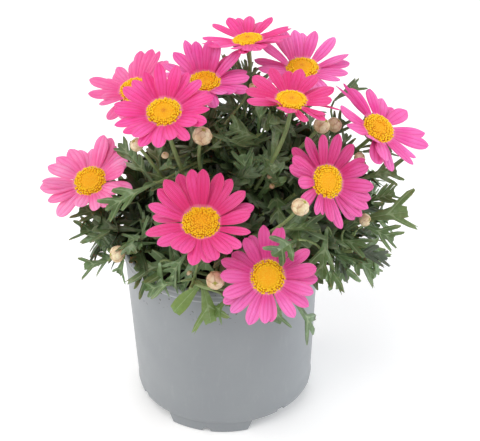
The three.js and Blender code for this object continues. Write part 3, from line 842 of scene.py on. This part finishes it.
def build_petals(name, index):
    look = FLOWERS[name]
    head = HEADS[name]
    node = f"flower_{name}_petals"
    rng = np.random.default_rng(100 + index)
    piece = Piece(f"petals_of_{name}")
    width = PETAL.width * 2 * math.pi * 0.7 * head.reach / look.petals
    for k, (tip, broad) in enumerate(petal_tips(name, rng)):
        out = unit(tip - head.axis * (tip @ head.axis))
        foot = out * head.disc * 0.82 + head.axis * (0.6 if k % 2 else 0.15)
        droop = look.droop * 0.8 + rng.normal(0, look.uneven)
        length, place = laid(foot, tip, head.axis, droop)
        points, along, across = petal_points(length, width * broad * rng.uniform(0.9, 1.08), rng)
        points = bent(points, length, droop, rng.normal(0, look.uneven * 1.2))
        # Painted shade and light: petals on the PHOTO_UP side of the disc get a richer, darker tone, the
        # others a paler light value; rich colour and chance add to the tone, set paleness and chance to the
        # light value.
        painted_shade_share = 0.5 + 0.5 * unit(tip) @ PHOTO_UP
        tone = look.dim * painted_shade_share + look.rich + 0.5 * rng.uniform(0, 1) ** 2
        light = (1 - painted_shade_share) * (0.3 + 0.7 * look.dim) + rng.uniform(0, 0.4) + look.pale
        piece.add(points @ place.T + foot + head.foot, PETAL_FACES, SLOTS[node], along=along, across=across,
                  tone=min(tone, 1.0), vein=min(light, 1.0))
    piece.build(node)


# A floret's outline in (radius, height) pairs: a closed knob, and an open one with a waist and a flared
# mouth.
KNOB = np.array([(0.0, -0.6), (0.72, -0.6), (0.95, 0.0), (0.86, 0.55), (0.45, 0.95), (0.0, 1.05)])
MOUTH = np.array([(0.0, -0.6), (0.72, -0.6), (0.8, 0.4), (1.02, 1.0), (0.7, 1.35), (0.0, 1.2)])


def floret_places(radius, open_share, rng):
    """Florets' distances from the middle of a disc, their angles, and whether they are open: closed ones
    in spirals, then rings of open ones out to the rim."""
    closed_to = 1 - open_share
    spread = DISC.closed_spacing / math.sqrt(math.pi)
    florets = [(math.sqrt(k + 0.5) * spread, k * GOLDEN_ANGLE, 0.0) for k in range(400)]
    florets = [floret for floret in florets if floret[0] < radius * closed_to]
    rows = max(round(radius * open_share * 0.98 / DISC.spacing), 2)
    for row in range(rows):
        out = radius * (closed_to + open_share * 0.97 * (row + 0.75) / (rows + 0.1))
        around = round(2 * math.pi * out / DISC.spacing)
        for k in range(around):
            here = out + rng.normal(0, 0.16)
            florets.append((here, 2 * math.pi * (k + 0.5 * row + rng.normal(0, 0.16)) / around, 1.0))
    return florets


def build_disc(name, index):
    look = FLOWERS[name]
    head = HEADS[name]
    rng = np.random.default_rng(200 + index)
    piece = Piece(f"disc_of_{name}")
    radius = head.disc
    dome = radius * DISC.dome
    steps = np.linspace(0, 1, 7)[:-1] * math.pi / 2
    profile = [(0.0, -0.1), (radius * 0.9, -0.1)]
    profile += [(radius * 0.93 * math.cos(a), (dome - 0.4) * math.sin(a)) for a in steps]
    points, faces = lathe(profile + [(0.0, dome - 0.4)], 24)
    outs = np.hypot(points[:, 0], points[:, 1]) / radius
    # Painted shade on the dome under the open florets, in the gaps between them.
    dark = np.clip((outs - (1 - look.open)) * 5, 0, 1)
    piece.add(points @ head.turn.T + head.foot, faces, "disc", along=outs, vein=dark)
    for out, angle, is_open in floret_places(radius, look.open, rng):
        share = min(out / radius, 0.99)
        height = (dome - 0.5) * math.sqrt(max(1 - share**2, 0.02))
        tip = np.array([math.cos(angle) * out, math.sin(angle) * out, height])
        normal = unit([tip[0] / radius**2, tip[1] / radius**2, max(height, 0.6) / dome**2 * 0.8])
        normal = unit(normal + rng.normal(0, 0.14 * is_open, 3))
        opened = is_open * rng.uniform(0.5, 1.0)
        points, faces = lathe(KNOB + (MOUTH - KNOB) * opened, DISC.sides)
        size = (DISC.spacing * 0.53 if is_open else DISC.closed_spacing * 0.52) * rng.uniform(0.88, 1.12)
        tall = np.array([1.0, 1.0, rng.uniform(0.8, 1.35) if is_open else 0.75])
        local = (points * size * tall) @ standing(normal, (math.cos(angle), math.sin(angle), 0.0)).T + tip
        # Painted shade low on each floret, deeper on open ones.
        dark = np.clip(0.4 - points[:, 2], 0, 1) * (0.85 * is_open + 0.3)
        spot = look.spot * np.clip(1.6 - share * 7, 0, 1)
        piece.add(local @ head.turn.T + head.foot, faces, "disc", along=share, vein=dark, tone=spot)
    piece.build(f"flower_{name}_disc")


SCALE_FACES = sheet_faces(SCALE.rows, SCALE.columns)


def scale_on(shape, angle, start, length, width, lift):
    """A thin scale that lies on a turned body. shape(share) gives (radius, height) for a share of the
    body."""
    u = np.linspace(0, 1, SCALE.rows)[:, None]
    v = np.linspace(-1, 1, SCALE.columns)
    outline = np.sin(np.clip(0.25 + u * 0.72, 0, 1) * math.pi) ** 0.6 + 0.06
    radius, height = np.array([shape(start + length * share) for share in u[:, 0]]).T[..., None]
    raised = radius + lift * (0.35 + u)
    turn = angle + v * width * outline / np.maximum(raised, 0.8)
    out = raised * (1 - 0.02 * v * v)
    middle = np.stack(np.broadcast_arrays(np.cos(turn) * out, np.sin(turn) * out, height), axis=-1)
    thick = 0.14 * np.sqrt(1 - v**2)[None, :, None]
    return sheet(middle, np.array([math.cos(angle), math.sin(angle), 0.0]) * thick, u, v)


def add_cup(piece, head, rng):
    """The green cup under a head, from the stalk up to its rim, with two rows of bracts."""
    def shape(share):
        swell = math.sin(min(share, 1.0) * math.pi / 2) ** 0.8
        height = -CUP.depth * (1 - share) ** 1.25 if share < 1 else 0.1
        return STEM.radius + (head.disc * CUP.rim - STEM.radius) * swell, height

    foot = head.foot - head.axis * 0.3
    profile = [(0.0, -CUP.depth - 0.5)] + [shape(share) for share in np.linspace(0, 0.98, 8)] + [(0.0, -0.15)]
    points, faces = lathe(profile, 22)
    piece.add(points @ head.turn.T + foot, faces, "stalk", along=1.0)
    for row, (start, length) in enumerate(((0.1, 0.62), (0.36, 0.66))):
        for k in range(CUP.bracts):
            angle = 2 * math.pi * (k + 0.5 * row) / CUP.bracts + rng.normal(0, 0.04)
            points, along, across = scale_on(shape, angle, start, length, 1.35 + 0.35 * row, 0.35)
            piece.add(points @ head.turn.T + foot, SCALE_FACES, "stalk", along=along, across=across)


# Leaves


# Steps over a lobe from its near side to its far side, and three outlines that it can have there.
LOBE_STEPS = np.array([-1.0, -0.84, -0.1, 0.6, 0.94, 1.0])
LOBE_SHAPES = np.array([
    [0, 0.6, 1.0, 0.8, 0.5, 0], [0, 0.66, 1.0, 0.7, 0.86, 0], [0, 0.82, 1.0, 0.88, 0.6, 0],
])

# For each number of pairs of lobes, where they are along the leaf and how long they are, as shares of
# its length.
LOBES = {
    0: (),
    1: ((0.58, 0.3),),
    2: ((0.42, 0.31), (0.7, 0.27)),
    3: ((0.34, 0.22), (0.55, 0.28), (0.76, 0.22)),
}
LEAF_COLUMNS = np.array([-1.0, -0.62, -0.24, 0.0, 0.24, 0.62, 1.0])


def leaf_rows(pairs):
    """Rows along a leaf as shares of its length: the petiole, then the steps of each pair of lobes, then
    the tip."""
    rows = [[0.0, 0.1, 0.2] if pairs else [0.0, 0.1, 0.2, 0.35, 0.5, 0.65, 0.8]]
    rows += [middle + LOBE_STEPS * LEAF.lobe_width for middle, _ in LOBES[pairs]]
    return np.concatenate(rows + [[0.9, 0.95, 0.985, 1.0]])


LEAF_ROWS = {pairs: leaf_rows(pairs) for pairs in LOBES}
LEAF_FACES = {pairs: sheet_faces(len(rows), len(LEAF_COLUMNS)) for pairs, rows in LEAF_ROWS.items()}


def leaf_points(length, rng, pairs, broad, fold):
    """One lobed leaf along +X, upper side up, with its petiole at the origin."""
    rows = LEAF_ROWS[pairs]
    wing = LEAF.wing * broad * (0.4 + 0.65 * np.clip((rows - 0.08) / 0.3, 0, 1))
    wing = wing * np.clip((1 - rows) / 0.09, 0.08, 1) ** 0.6
    forward = np.clip((1 - rows) / (0.2 if pairs else 0.45), 0, 1)[:, None]
    x = np.repeat(rows[:, None], len(LEAF_COLUMNS), axis=1)
    y = np.zeros_like(x)
    z = np.zeros_like(x)
    vein = np.zeros_like(x) + (LEAF_COLUMNS == 0)
    for side in (-1, 1):
        columns = LEAF_COLUMNS * side > 0
        out = LEAF_COLUMNS[columns] * side
        reach = wing.copy()
        lift = np.zeros(len(rows))
        turn = 52 - 16 * rows
        for middle, size in LOBES[pairs]:
            here = np.abs(rows - middle) < LEAF.lobe_width * 1.001
            shape = LOBE_SHAPES[rng.integers(0, len(LOBE_SHAPES))]
            reach[here] += size * rng.uniform(0.7, 1.2) * shape * (0.6 + 0.4 * broad)
            lift[here] += rng.normal(0.0, 0.16)
            turn[here] += rng.normal(0, 5)
            vein[np.argmin(np.abs(rows - middle)), columns] = 1.0
        angle = np.radians(turn)[:, None]
        run = reach[:, None] * out
        hook = 0.2 * run * out
        x[:, columns] += (run * np.cos(angle) + hook * 0.5) * forward
        y[:, columns] = side * (run * np.sin(angle) - hook * 0.3)
        z[:, columns] = lift[:, None] * run
    middle = np.stack([x, y, z], axis=-1) * length
    middle[..., 2] += fold * np.abs(middle[..., 1]) - 0.25 * np.exp(-((middle[..., 1] / 0.7) ** 2))
    thick = LEAF.thickness / 2 * np.sqrt(1 - np.abs(LEAF_COLUMNS) ** 2.5)
    return sheet(middle, thick[:, None] * UP, rows[:, None], LEAF_COLUMNS, vein)


def is_inside(points):
    """Whether a leaf stays within the outline of the foliage."""
    away = (points - ENVELOPE.middle) / ENVELOPE.reach
    away[:, 2] = np.maximum(away[:, 2], 0)
    lowest = ENVELOPE.lowest + ENVELOPE.front_rise * np.clip((-points[:, 1] - 30) / 30, 0, 1)
    return np.all(np.sum(away**2, axis=1) < 1) and np.all(points[:, 2] > lowest)


def is_clear(points):
    """Whether a leaf keeps out of the flower heads, the view onto them, the buds and the pot's wall."""
    for head in HEADS.values():
        away = points - head.foot
        height = away @ head.axis
        out = lengths(away - height[:, None] * head.axis)
        if np.any((height > -3.0 - 0.05 * out) & (height < 24) & (out < head.reach * (1.0 - height / 60))):
            return False
    for bud in BUDS.values():
        if np.any(lengths(points - bud.middle) < bud.width * 0.5 + 1.0):
            return False
    out = np.hypot(points[:, 0], points[:, 1])
    return not np.any((points[:, 2] < RIM_TOP + 0.6) & (out > RIM_RADIUS - 4.5) & (out < RIM_RADIUS + 0.8))


def add_leaf(piece, at, ahead, above, length, bend, high, rng):
    """A leaf of a chance shape, if there is room for it; says whether there was."""
    pairs = int(rng.choice((1, 1, 2, 2, 3)))
    broad = rng.uniform(0.8, 1.3)
    points, along, across, vein = leaf_points(length, rng, pairs, broad, rng.uniform(0.05, 0.4))
    placed = bent(points, length, bend, rng.normal(0, 16)) @ basis(ahead, above).T + at
    if not (is_clear(placed) and (high or is_inside(placed))):
        return False
    tone = rng.uniform(0, 0.25)
    # Painted shade: leaves deeper inside the foliage are darker, with some chance in it.
    away = np.linalg.norm((placed.mean(axis=0) - ENVELOPE.middle) / ENVELOPE.reach)
    dusk = np.clip(2.25 - 2.4 * away + rng.normal(0, 0.3), 0, 1)
    piece.add(placed, LEAF_FACES[pairs], "leaf", along=along, across=across, vein=vein, tone=tone, dusk=dusk)
    return True


def add_seen_leaf(piece, foot, tip, pairs, broad, yellow, rng):
    """A leaf that is seen in the picture, turned to face up and towards the camera."""
    bend = rng.uniform(8, 30)
    above = UP * 0.6 - CAMERA_AHEAD * 0.8 + rng.normal(0, 0.15, 3)
    length, place = laid(foot, tip, above, bend)
    broad = broad * LEAF.length / length
    points, along, across, vein = leaf_points(length, rng, pairs, broad, rng.uniform(0.0, 0.2))
    placed = bent(points, length, bend, rng.normal(0, 6)) @ place.T + foot
    piece.add(placed, LEAF_FACES[pairs], "leaf", along=along, across=across, vein=vein, tone=yellow)


def add_leaves_along(piece, controls, shares, length, rng, start_turn, lean=(48, 84), high=False):
    """Leaves up a stem, turned round it by the golden angle, more upright towards its tip."""
    points, tangents = bezier(controls, shares)
    for k, (point, along, share) in enumerate(zip(points, tangents, shares)):
        angle = start_turn + k * GOLDEN_ANGLE
        first = unit(np.cross(UP, along) if abs(along[2]) < 0.98 else (1.0, 0.0, 0.0))
        second = np.cross(along, first)
        for _ in range(5):
            out = math.cos(angle) * first + math.sin(angle) * second
            tip = math.radians(lean[1] + (lean[0] - lean[1]) * share + rng.normal(0, 8))
            ahead = unit(along * math.cos(tip) + out * math.sin(tip))
            size = length * rng.uniform(0.75, 1.12) * (1 - 0.3 * share**3)
            above = unit(np.cross(ahead, np.cross(along, ahead)) + UP * 0.8)
            if add_leaf(piece, point, ahead, above, size, rng.uniform(5, 40), high, rng):
                break
            angle += 1.9


# Stems and buds


def add_stem(piece, controls, radius, end_radius, rings=STEM.rings):
    """A ribbed stem along a curve, a little thicker where it starts."""
    shares = np.linspace(0, 1, rings)
    radii = (radius + (end_radius - radius) * shares) * (1 + 0.35 * np.exp(-shares * 18))
    points, faces = swept(bezier(controls, shares)[0], radii, STEM.sides, STEM.ribs, STEM.rib_depth)
    piece.add(points, faces, "stalk", along=np.repeat(shares, STEM.sides))


def add_bud(piece, foot, along, width, rng, ripe=0.0):
    """A round bud under rows of overlapping scales, with its mouth at the far end."""
    def shape(share):
        turn = math.pi * min(share, 1.0)
        return width * 0.48 * math.sin(turn) ** 0.85 + 0.02, width * 0.4512 * (1 - math.cos(turn))

    stand = standing(along)
    profile = [(0.0, 0.0)] + [shape(share) for share in np.linspace(0.08, 0.93, 9)]
    points, faces = lathe(profile + [(0.0, shape(0.97)[1] * 0.985)], 18)
    mouth = np.clip((points[:, 2] / (width * 0.9) - 0.8) * 8, 0, 1)
    piece.add(points @ stand.T + foot, faces, "bud", across=1.0, tone=0.6, vein=mouth)
    for row, (start, long, count, wide) in enumerate(BUD_SCALES):
        lift = width * (0.05 - 0.011 * row)
        for k in range(count):
            angle = 2 * math.pi * (k + 0.5 * (row % 2) + 0.13 * row) / count + rng.normal(0, 0.06)
            points, share, across = scale_on(shape, angle, start, long, wide * width, lift)
            piece.add(points @ stand.T + foot, SCALE_FACES, "bud", along=share, across=across,
                      tone=rng.uniform(0, 0.7) + ripe)


def build_stalk(name, index):
    head = HEADS[name]
    node = f"flower_{name}_stalk"
    rng = np.random.default_rng(300 + index)
    piece = Piece(f"stalk_of_{name}")
    controls = stem_controls(spring_of(node), head.foot - head.axis * (0.3 + CUP.depth), head.axis)
    add_stem(piece, controls, STEM.radius * 1.15, STEM.radius)
    add_cup(piece, head, rng)
    add_leaves_along(piece, controls, np.linspace(0.2, 0.66, 6), LEAF.length, rng, index)
    if name in LEAFY_STALKS:
        shares = np.linspace(0.5, 0.93, LEAFY_STALKS[name])
        add_leaves_along(piece, controls, shares, LEAF.length * 0.66, rng, 2.1, lean=(30, 62), high=True)
    piece.build(node)


def build_bud(node, index):
    bud = BUDS[node]
    rng = np.random.default_rng(400 + index)
    piece = Piece(node.replace("bud_", "bud_on_stalk_"))
    controls = stem_controls(bud.start, bud.foot, bud.axis)
    add_stem(piece, controls, STEM.radius, STEM.radius * 0.8)
    add_bud(piece, bud.foot, bud.axis, bud.width, rng)
    add_leaves_along(piece, controls, np.linspace(0.2, 0.7, 5), LEAF.length * 0.85, rng, index * 1.3)
    piece.build(node)


# Leafy shoots


def start_shoot(node, index):
    """A leafy shoot's stem with its first leaves, ready for twigs."""
    start = spring_of(node)
    tip = start + (end_of(node, start) - start) * 0.8
    tip[2] = max(tip[2], RIM_TOP + 9)
    controls = stem_controls(start, tip, unit([tip[0], tip[1], 35.0]))
    shoot = Values(tip=tip, controls=controls, rng=np.random.default_rng(500 + index))
    shoot.piece = Piece(node.replace("leafy_shoot", "shoot"))
    add_stem(shoot.piece, controls, 1.6, 0.9)
    add_leaves_along(shoot.piece, controls, np.linspace(0.25, 1.0, 12), LEAF.length, shoot.rng, index)
    return shoot


def nearest_shoot(shoots, place):
    return min(shoots.values(), key=lambda shoot: np.linalg.norm(shoot.tip - place))


def add_twigs(shoots):
    """Leafy twigs whose ends are spread evenly over a dome inside the flower heads."""
    for k in range(FOLIAGE.twigs):
        height = 0.02 + 0.96 * (k + 0.5) / FOLIAGE.twigs
        level = math.sqrt(1 - height**2)
        turn = k * GOLDEN_ANGLE
        depth = (0.98, 0.82, 0.92)[k % 3]
        out = FOLIAGE.reach * depth * np.array([math.cos(turn) * level, math.sin(turn) * level, height])
        end = FOLIAGE.middle + out
        shoot = nearest_shoot(shoots, end)
        (fork,), (along,) = bezier(shoot.controls, [0.22 + 0.3 * shoot.rng.random()])
        arriving = unit(out * (1, 1, 0.7) + UP * 22)
        reach = np.linalg.norm(end - fork)
        twig = (fork, fork + along * reach * 0.3, end - arriving * reach * 0.35, end)
        add_stem(shoot.piece, twig, 1.1, 0.7, rings=12)
        add_leaves_along(shoot.piece, twig, np.linspace(0.3, 1.0, FOLIAGE.leaves), LEAF.length, shoot.rng, k)


def carry(shoots, place, arriving):
    """Grows a twig to a place from the nearest shoot, above the pot's rim, and gives that shoot's piece."""
    shoot = nearest_shoot(shoots, place)
    points, tangents = bezier(shoot.controls, np.linspace(0.35, 1.0, 14))
    too_low = 1000.0 * (points[:, 2] < RIM_TOP + 2)
    nearest = np.argmin(lengths(points + UP * 14 - place) + too_low)
    start = points[nearest]
    reach = np.linalg.norm(place - start)
    back = (place - start) * 0.25
    bend = start + tangents[nearest] * reach * 0.25 + back
    before = place - arriving * min(8.0, reach * 0.3) - back
    add_stem(shoot.piece, (start, bend, before, place), 0.85, 0.6, rings=10)
    return shoot.piece


def build_shoots():
    shoots = {node: start_shoot(node, index) for index, node in enumerate(SHOOTS)}
    add_twigs(shoots)
    for number, (from_pixel, to_pixel, pairs, broad, yellow) in enumerate(LEAVES_SEEN):
        foot, tip = seen_at(*from_pixel), seen_at(*to_pixel)
        piece = carry(shoots, foot, unit(tip - foot))
        add_seen_leaf(piece, foot, tip, pairs, broad, yellow, np.random.default_rng(700 + number))
    for number, (pixel, width, red) in enumerate(YOUNG_BUDS_SEEN):
        along = unit(UP - CAMERA_AHEAD * 0.7 + np.array([0.3 * (-1) ** number, 0, 0]))
        foot = seen_at(*pixel) - along * width / 2
        add_bud(carry(shoots, foot, along), foot, along, width, np.random.default_rng(800 + number), red)
    for node, shoot in shoots.items():
        shoot.piece.build(node)


# The pot and what it holds


def round_pot(first, count):
    """Angles of things that are spread evenly round the pot, in degrees from the front."""
    return [first + 360 * i / count for i in range(count)]


def pot_angles():
    """Angles round the pot, in degrees from the front: even steps, and finer ones at feet and notches."""
    angles = set(np.arange(0, 360, 2.5).round(3))
    for middle in round_pot(POT.first_foot, POT.feet):
        for step in (0.0, 0.25, 0.75, 1.0):
            past = POT.foot_span / 2 + step * POT.slope
            angles |= {round((middle - past) % 360, 3), round((middle + past) % 360, 3)}
    reach = math.degrees(POT.notch / POT.foot_out)
    for middle in round_pot(POT.first_notch, POT.notches):
        angles |= {round((middle + reach * step) % 360, 3) for step in np.cos(np.linspace(0, math.pi, 11))}
    return np.array(sorted(angles))


def pot_under(angles):
    """Heights of the foot ring and of the floor's edge round the pot, with its feet and water notches."""
    foot = np.full(len(angles), POT.foot - 0.05)
    edge = np.full(len(angles), POT.foot)
    for middle in round_pot(POT.first_foot, POT.feet):
        past = np.abs((angles - middle + 180) % 360 - 180) - POT.foot_span / 2
        foot = np.minimum(foot, np.clip(past / POT.slope, 0, 1) * (POT.foot - 0.05))
    for middle in round_pot(POT.first_notch, POT.notches):
        past = np.radians((angles - middle + 180) % 360 - 180) * POT.foot_out
        arch = np.sqrt(np.clip(POT.notch**2 - past**2, 0, None))
        if np.interp(middle % 360, angles, foot) < 1.0:
            foot = np.maximum(foot, arch)
        else:
            edge = edge + arch
    return foot, edge


def wall_radius(height):
    share = (height - POT.foot) / (POT.height - POT.band - POT.foot)
    return POT.wall_base + (POT.wall_top - POT.wall_base) * share


def build_pot():
    angles = pot_angles()
    foot, edge = pot_under(angles)
    under = np.minimum(foot, edge - 0.03)
    corner = np.minimum(foot + 0.4, edge - 0.02)
    pad, top, rim = POT.pad, POT.height, POT.rim
    ledge = top - POT.band
    inside = POT.foot + POT.floor
    inner = wall_radius(inside) - POT.wall

    # The underside: the middle pad, the raised floor and the foot ring.
    profile = [(0.0, 0.0), (4.0, 0.0), (pad - 0.6, 0.0), (pad, 0.3), (pad + 1.4, POT.foot - 0.3)]
    profile += [(pad + 2.0, POT.foot), (POT.foot_in - 3.0, POT.foot), (POT.foot_in - 0.3, edge)]
    profile += [(POT.foot_in, corner), (POT.foot_in + 0.4, under), (POT.foot_out - 0.4, under)]
    profile += [(POT.foot_out, corner), (POT.foot_out + 0.1, edge), (POT.wall_base - 0.3, edge)]

    # The wall, with a faint step near its foot, and the rim's band.
    profile += [(POT.wall_base, edge + 0.35), (wall_radius(10.6) + 0.35, np.maximum(10.6, edge + 0.5))]
    profile += [(wall_radius(11.6) + 0.13, 11.6)]
    profile += [(wall_radius(z), z) for z in (12.0, 20.0, 40.0, 60.0, 80.0, 95.0, ledge - 1.6, ledge - 0.9)]
    profile += [(wall_radius(ledge) + 0.15, ledge - 0.45), (rim - 0.25, ledge - 0.3), (rim, ledge + 0.1)]
    profile += [(rim, ledge + 3.5), (rim, top - 1.3), (rim - 0.2, top - 0.5), (rim - 0.7, top)]

    # The inside, down to the floor.
    profile += [(rim - 1.5, top), (rim - 2.0, top - 0.5), (rim - 2.1, top - 1.4)]
    profile += [(wall_radius(ledge) - POT.wall, ledge), (wall_radius(60) - POT.wall, 60)]
    profile += [(inner, inside + 4.0), (inner - 2.5, inside + 2.0), (pad + 1.0, inside + 2.0)]
    profile += [(pad - 2.2, POT.floor), (4.0, POT.floor), (0.0, POT.floor)]
    points, faces = lathe(profile, np.radians(angles - 90))
    piece = Piece("nursery_pot")
    piece.add(points, faces, "pot", along=points[:, 2] / top)
    piece.build("pot", sharp=32.0)


def crumb(rng, size):
    """An irregular closed lump, such as a crumb of bark."""
    steps = np.linspace(0, math.pi, 7)[1:-1]
    points, faces = lathe([(0.0, -1.0)] + [(math.sin(a), -math.cos(a)) for a in steps] + [(0.0, 1.0)], 7)
    return points * (1 + rng.normal(0, 0.16, (len(points), 1))) * size, faces


def build_soil():
    """The growing medium: its body down to the pot's floor, a rough top that falls to the rim, and loose
    crumbs."""
    rng = np.random.default_rng(7)
    low, high = np.array(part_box("soil")) / MM
    bottom, top = low[2], high[2]
    radius = high[0] - 0.2
    outs = np.linspace(1.0, 0.04, 30) ** 0.8
    profile = [(0.0, bottom), (radius * 0.5, bottom), (radius * 0.52, bottom + 6.6)]
    profile += [(radius * 0.92, bottom + 6.6), (radius * 0.985, top - 4.5)]
    profile += [(radius * 0.99 * out, top - 1.6 - 2.2 * out**3) for out in outs]

    def rough(points):
        x, y, z = points.T
        bumps = 0.7 * np.sin(x * 0.31 + 1.2 * np.sin(y * 0.23)) * np.sin(y * 0.37 + 0.9)
        fine = 0.45 * np.sin(x * 0.83 + y * 0.41) * np.sin(y * 0.91 - x * 0.22)
        bumps += fine + rng.normal(0, 0.16, len(points))
        on_top = np.clip((z - (top - 4.4)) / 0.6, 0, 1)
        return points + (bumps * on_top)[:, None] * UP

    piece = Piece("growing_medium")
    piece.add(*lathe(profile + [(0.0, top - 1.2)], 96, rough), "soil")
    for k in range(230):
        out = radius * 0.95 * math.sqrt(rng.uniform(0.16, 1.0))
        angle = rng.uniform(0, 2 * math.pi)
        size = rng.uniform(0.7, 1.9) * np.array([1.0, rng.uniform(0.4, 0.9), rng.uniform(0.3, 0.7)])
        points, faces = crumb(rng, size)
        turn = basis((math.cos(angle * 7), math.sin(angle * 7), rng.normal(0, 0.4)))
        at = np.array([math.cos(angle) * out, math.sin(angle) * out, top - 1.2 - 2.2 * (out / radius) ** 3])
        piece.add(points @ turn.T + at, faces, "soil", tone=rng.uniform(0, 0.3) if k % 9 else 1.0)
    piece.build("soil")


def build_crown():
    """The woody crown: a gnarled dome that the stems spring from."""
    rng = np.random.default_rng(8)
    low, high = np.array(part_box("woody_crown")) / MM
    radius, foot, top = high[0], low[2], high[2]
    steps = np.linspace(0, math.pi / 2, 12)[:-1]
    profile = [(0.0, foot), (radius * 0.9, foot)]
    profile += [(radius * 0.97 * math.cos(a), foot + 1.5 + (top - foot - 2.2) * math.sin(a)) for a in steps]

    def gnarled(points):
        turn = np.arctan2(points[:, 1], points[:, 0])
        swell = 0.03 * np.sin(turn * 7) + 0.025 * np.sin(turn * 13 + points[:, 2])
        shrunk = 1 - np.abs(swell + rng.normal(0, 0.008, len(points)))
        return points * np.column_stack([shrunk, shrunk, np.ones(len(points))])

    piece = Piece("crown_of_stems")
    piece.add(*lathe(profile + [(0.0, top - 0.7)], 48, gnarled), "crown")
    piece.build("woody_crown")


# The studio


# Each soft light: where it is and its size in metres, its power in watts and its colour. All aim at the
# plant.
LIGHTS = {
    "key": ((-0.45, -0.75, 1.4), 1.2, 12.4, (1.0, 0.985, 0.96)),
    "fill": ((1.1, -0.4, 0.8), 1.2, 4.4, (0.97, 0.985, 1.0)),
    "back": ((0.2, 1.1, 1.1), 1.0, 5.0, (1.0, 1.0, 1.0)),
    "left_edge": ((-1.2, 0.25, 0.35), 0.6, 5.5, (1.0, 0.97, 0.92)),
    "right_edge": ((1.2, 0.3, 0.35), 0.6, 5.0, (0.92, 0.95, 1.0)),
}
LIGHTS_AIM = (0, 0, 0.12)


def build_floor():
    """A pale floor just under the pot."""
    half = 12.0
    mesh = bpy.data.meshes.new("floor")
    corners = [(-half, -half, 0), (half, -half, 0), (half, half, 0), (-half, half, 0)]
    mesh.from_pydata(corners, [], [(0, 1, 2, 3)])
    shade = Shader("floor", Roughness=0.8, Emission_Color=(1.0, 1.0, 1.0, 1.0), Emission_Strength=0.16)
    shade.set("Base Color", shade.mask(shade.noise(3.0), 0.3, 0.7, (0.94, 0.96)))
    mesh.materials.append(shade.material)
    floor = bpy.data.objects.new("floor", mesh)
    bpy.context.scene.collection.objects.link(floor)
    floor.location.z = -0.0002


def build_studio():
    scene = bpy.context.scene
    scene.view_settings.view_transform = "Standard"
    scene.world = bpy.data.worlds.new("studio")
    scene.world.use_nodes = True
    sky = scene.world.node_tree.nodes["Background"]
    sky.inputs["Color"].default_value = (0.97, 0.985, 1.0, 1.0)
    sky.inputs["Strength"].default_value = 0.5
    for name, (place, size, power, colour) in LIGHTS.items():
        lamp = bpy.data.lights.new(name, "AREA")
        lamp.size = size
        lamp.energy = power
        lamp.color = colour
        light = bpy.data.objects.new(name, lamp)
        scene.collection.objects.link(light)
        light.location = place
        light.rotation_euler = (Vector(LIGHTS_AIM) - Vector(place)).to_track_quat("-Z", "Y").to_euler()


def build_camera():
    camera = bpy.data.objects.new("camera", bpy.data.cameras.new("camera"))
    bpy.context.scene.collection.objects.link(camera)
    camera.data.lens = CAMERA.lens
    camera.data.sensor_width = CAMERA.sensor
    turn = Matrix((Vector(CAMERA_RIGHT), Vector(CAMERA_UP), Vector(-CAMERA_AHEAD))).transposed()
    camera.matrix_world = Matrix.Translation(Vector(CAMERA_AT * MM)) @ turn.to_4x4()
    bpy.context.scene.camera = camera


build_camera()
build_floor()
build_studio()
build_pot()
build_soil()
build_crown()
for number, flower in enumerate(FLOWERS):
    build_petals(flower, number)
    build_disc(flower, number)
    build_stalk(flower, number)
for number, bud_node in enumerate(BUDS):
    build_bud(bud_node, number)
build_shoots()
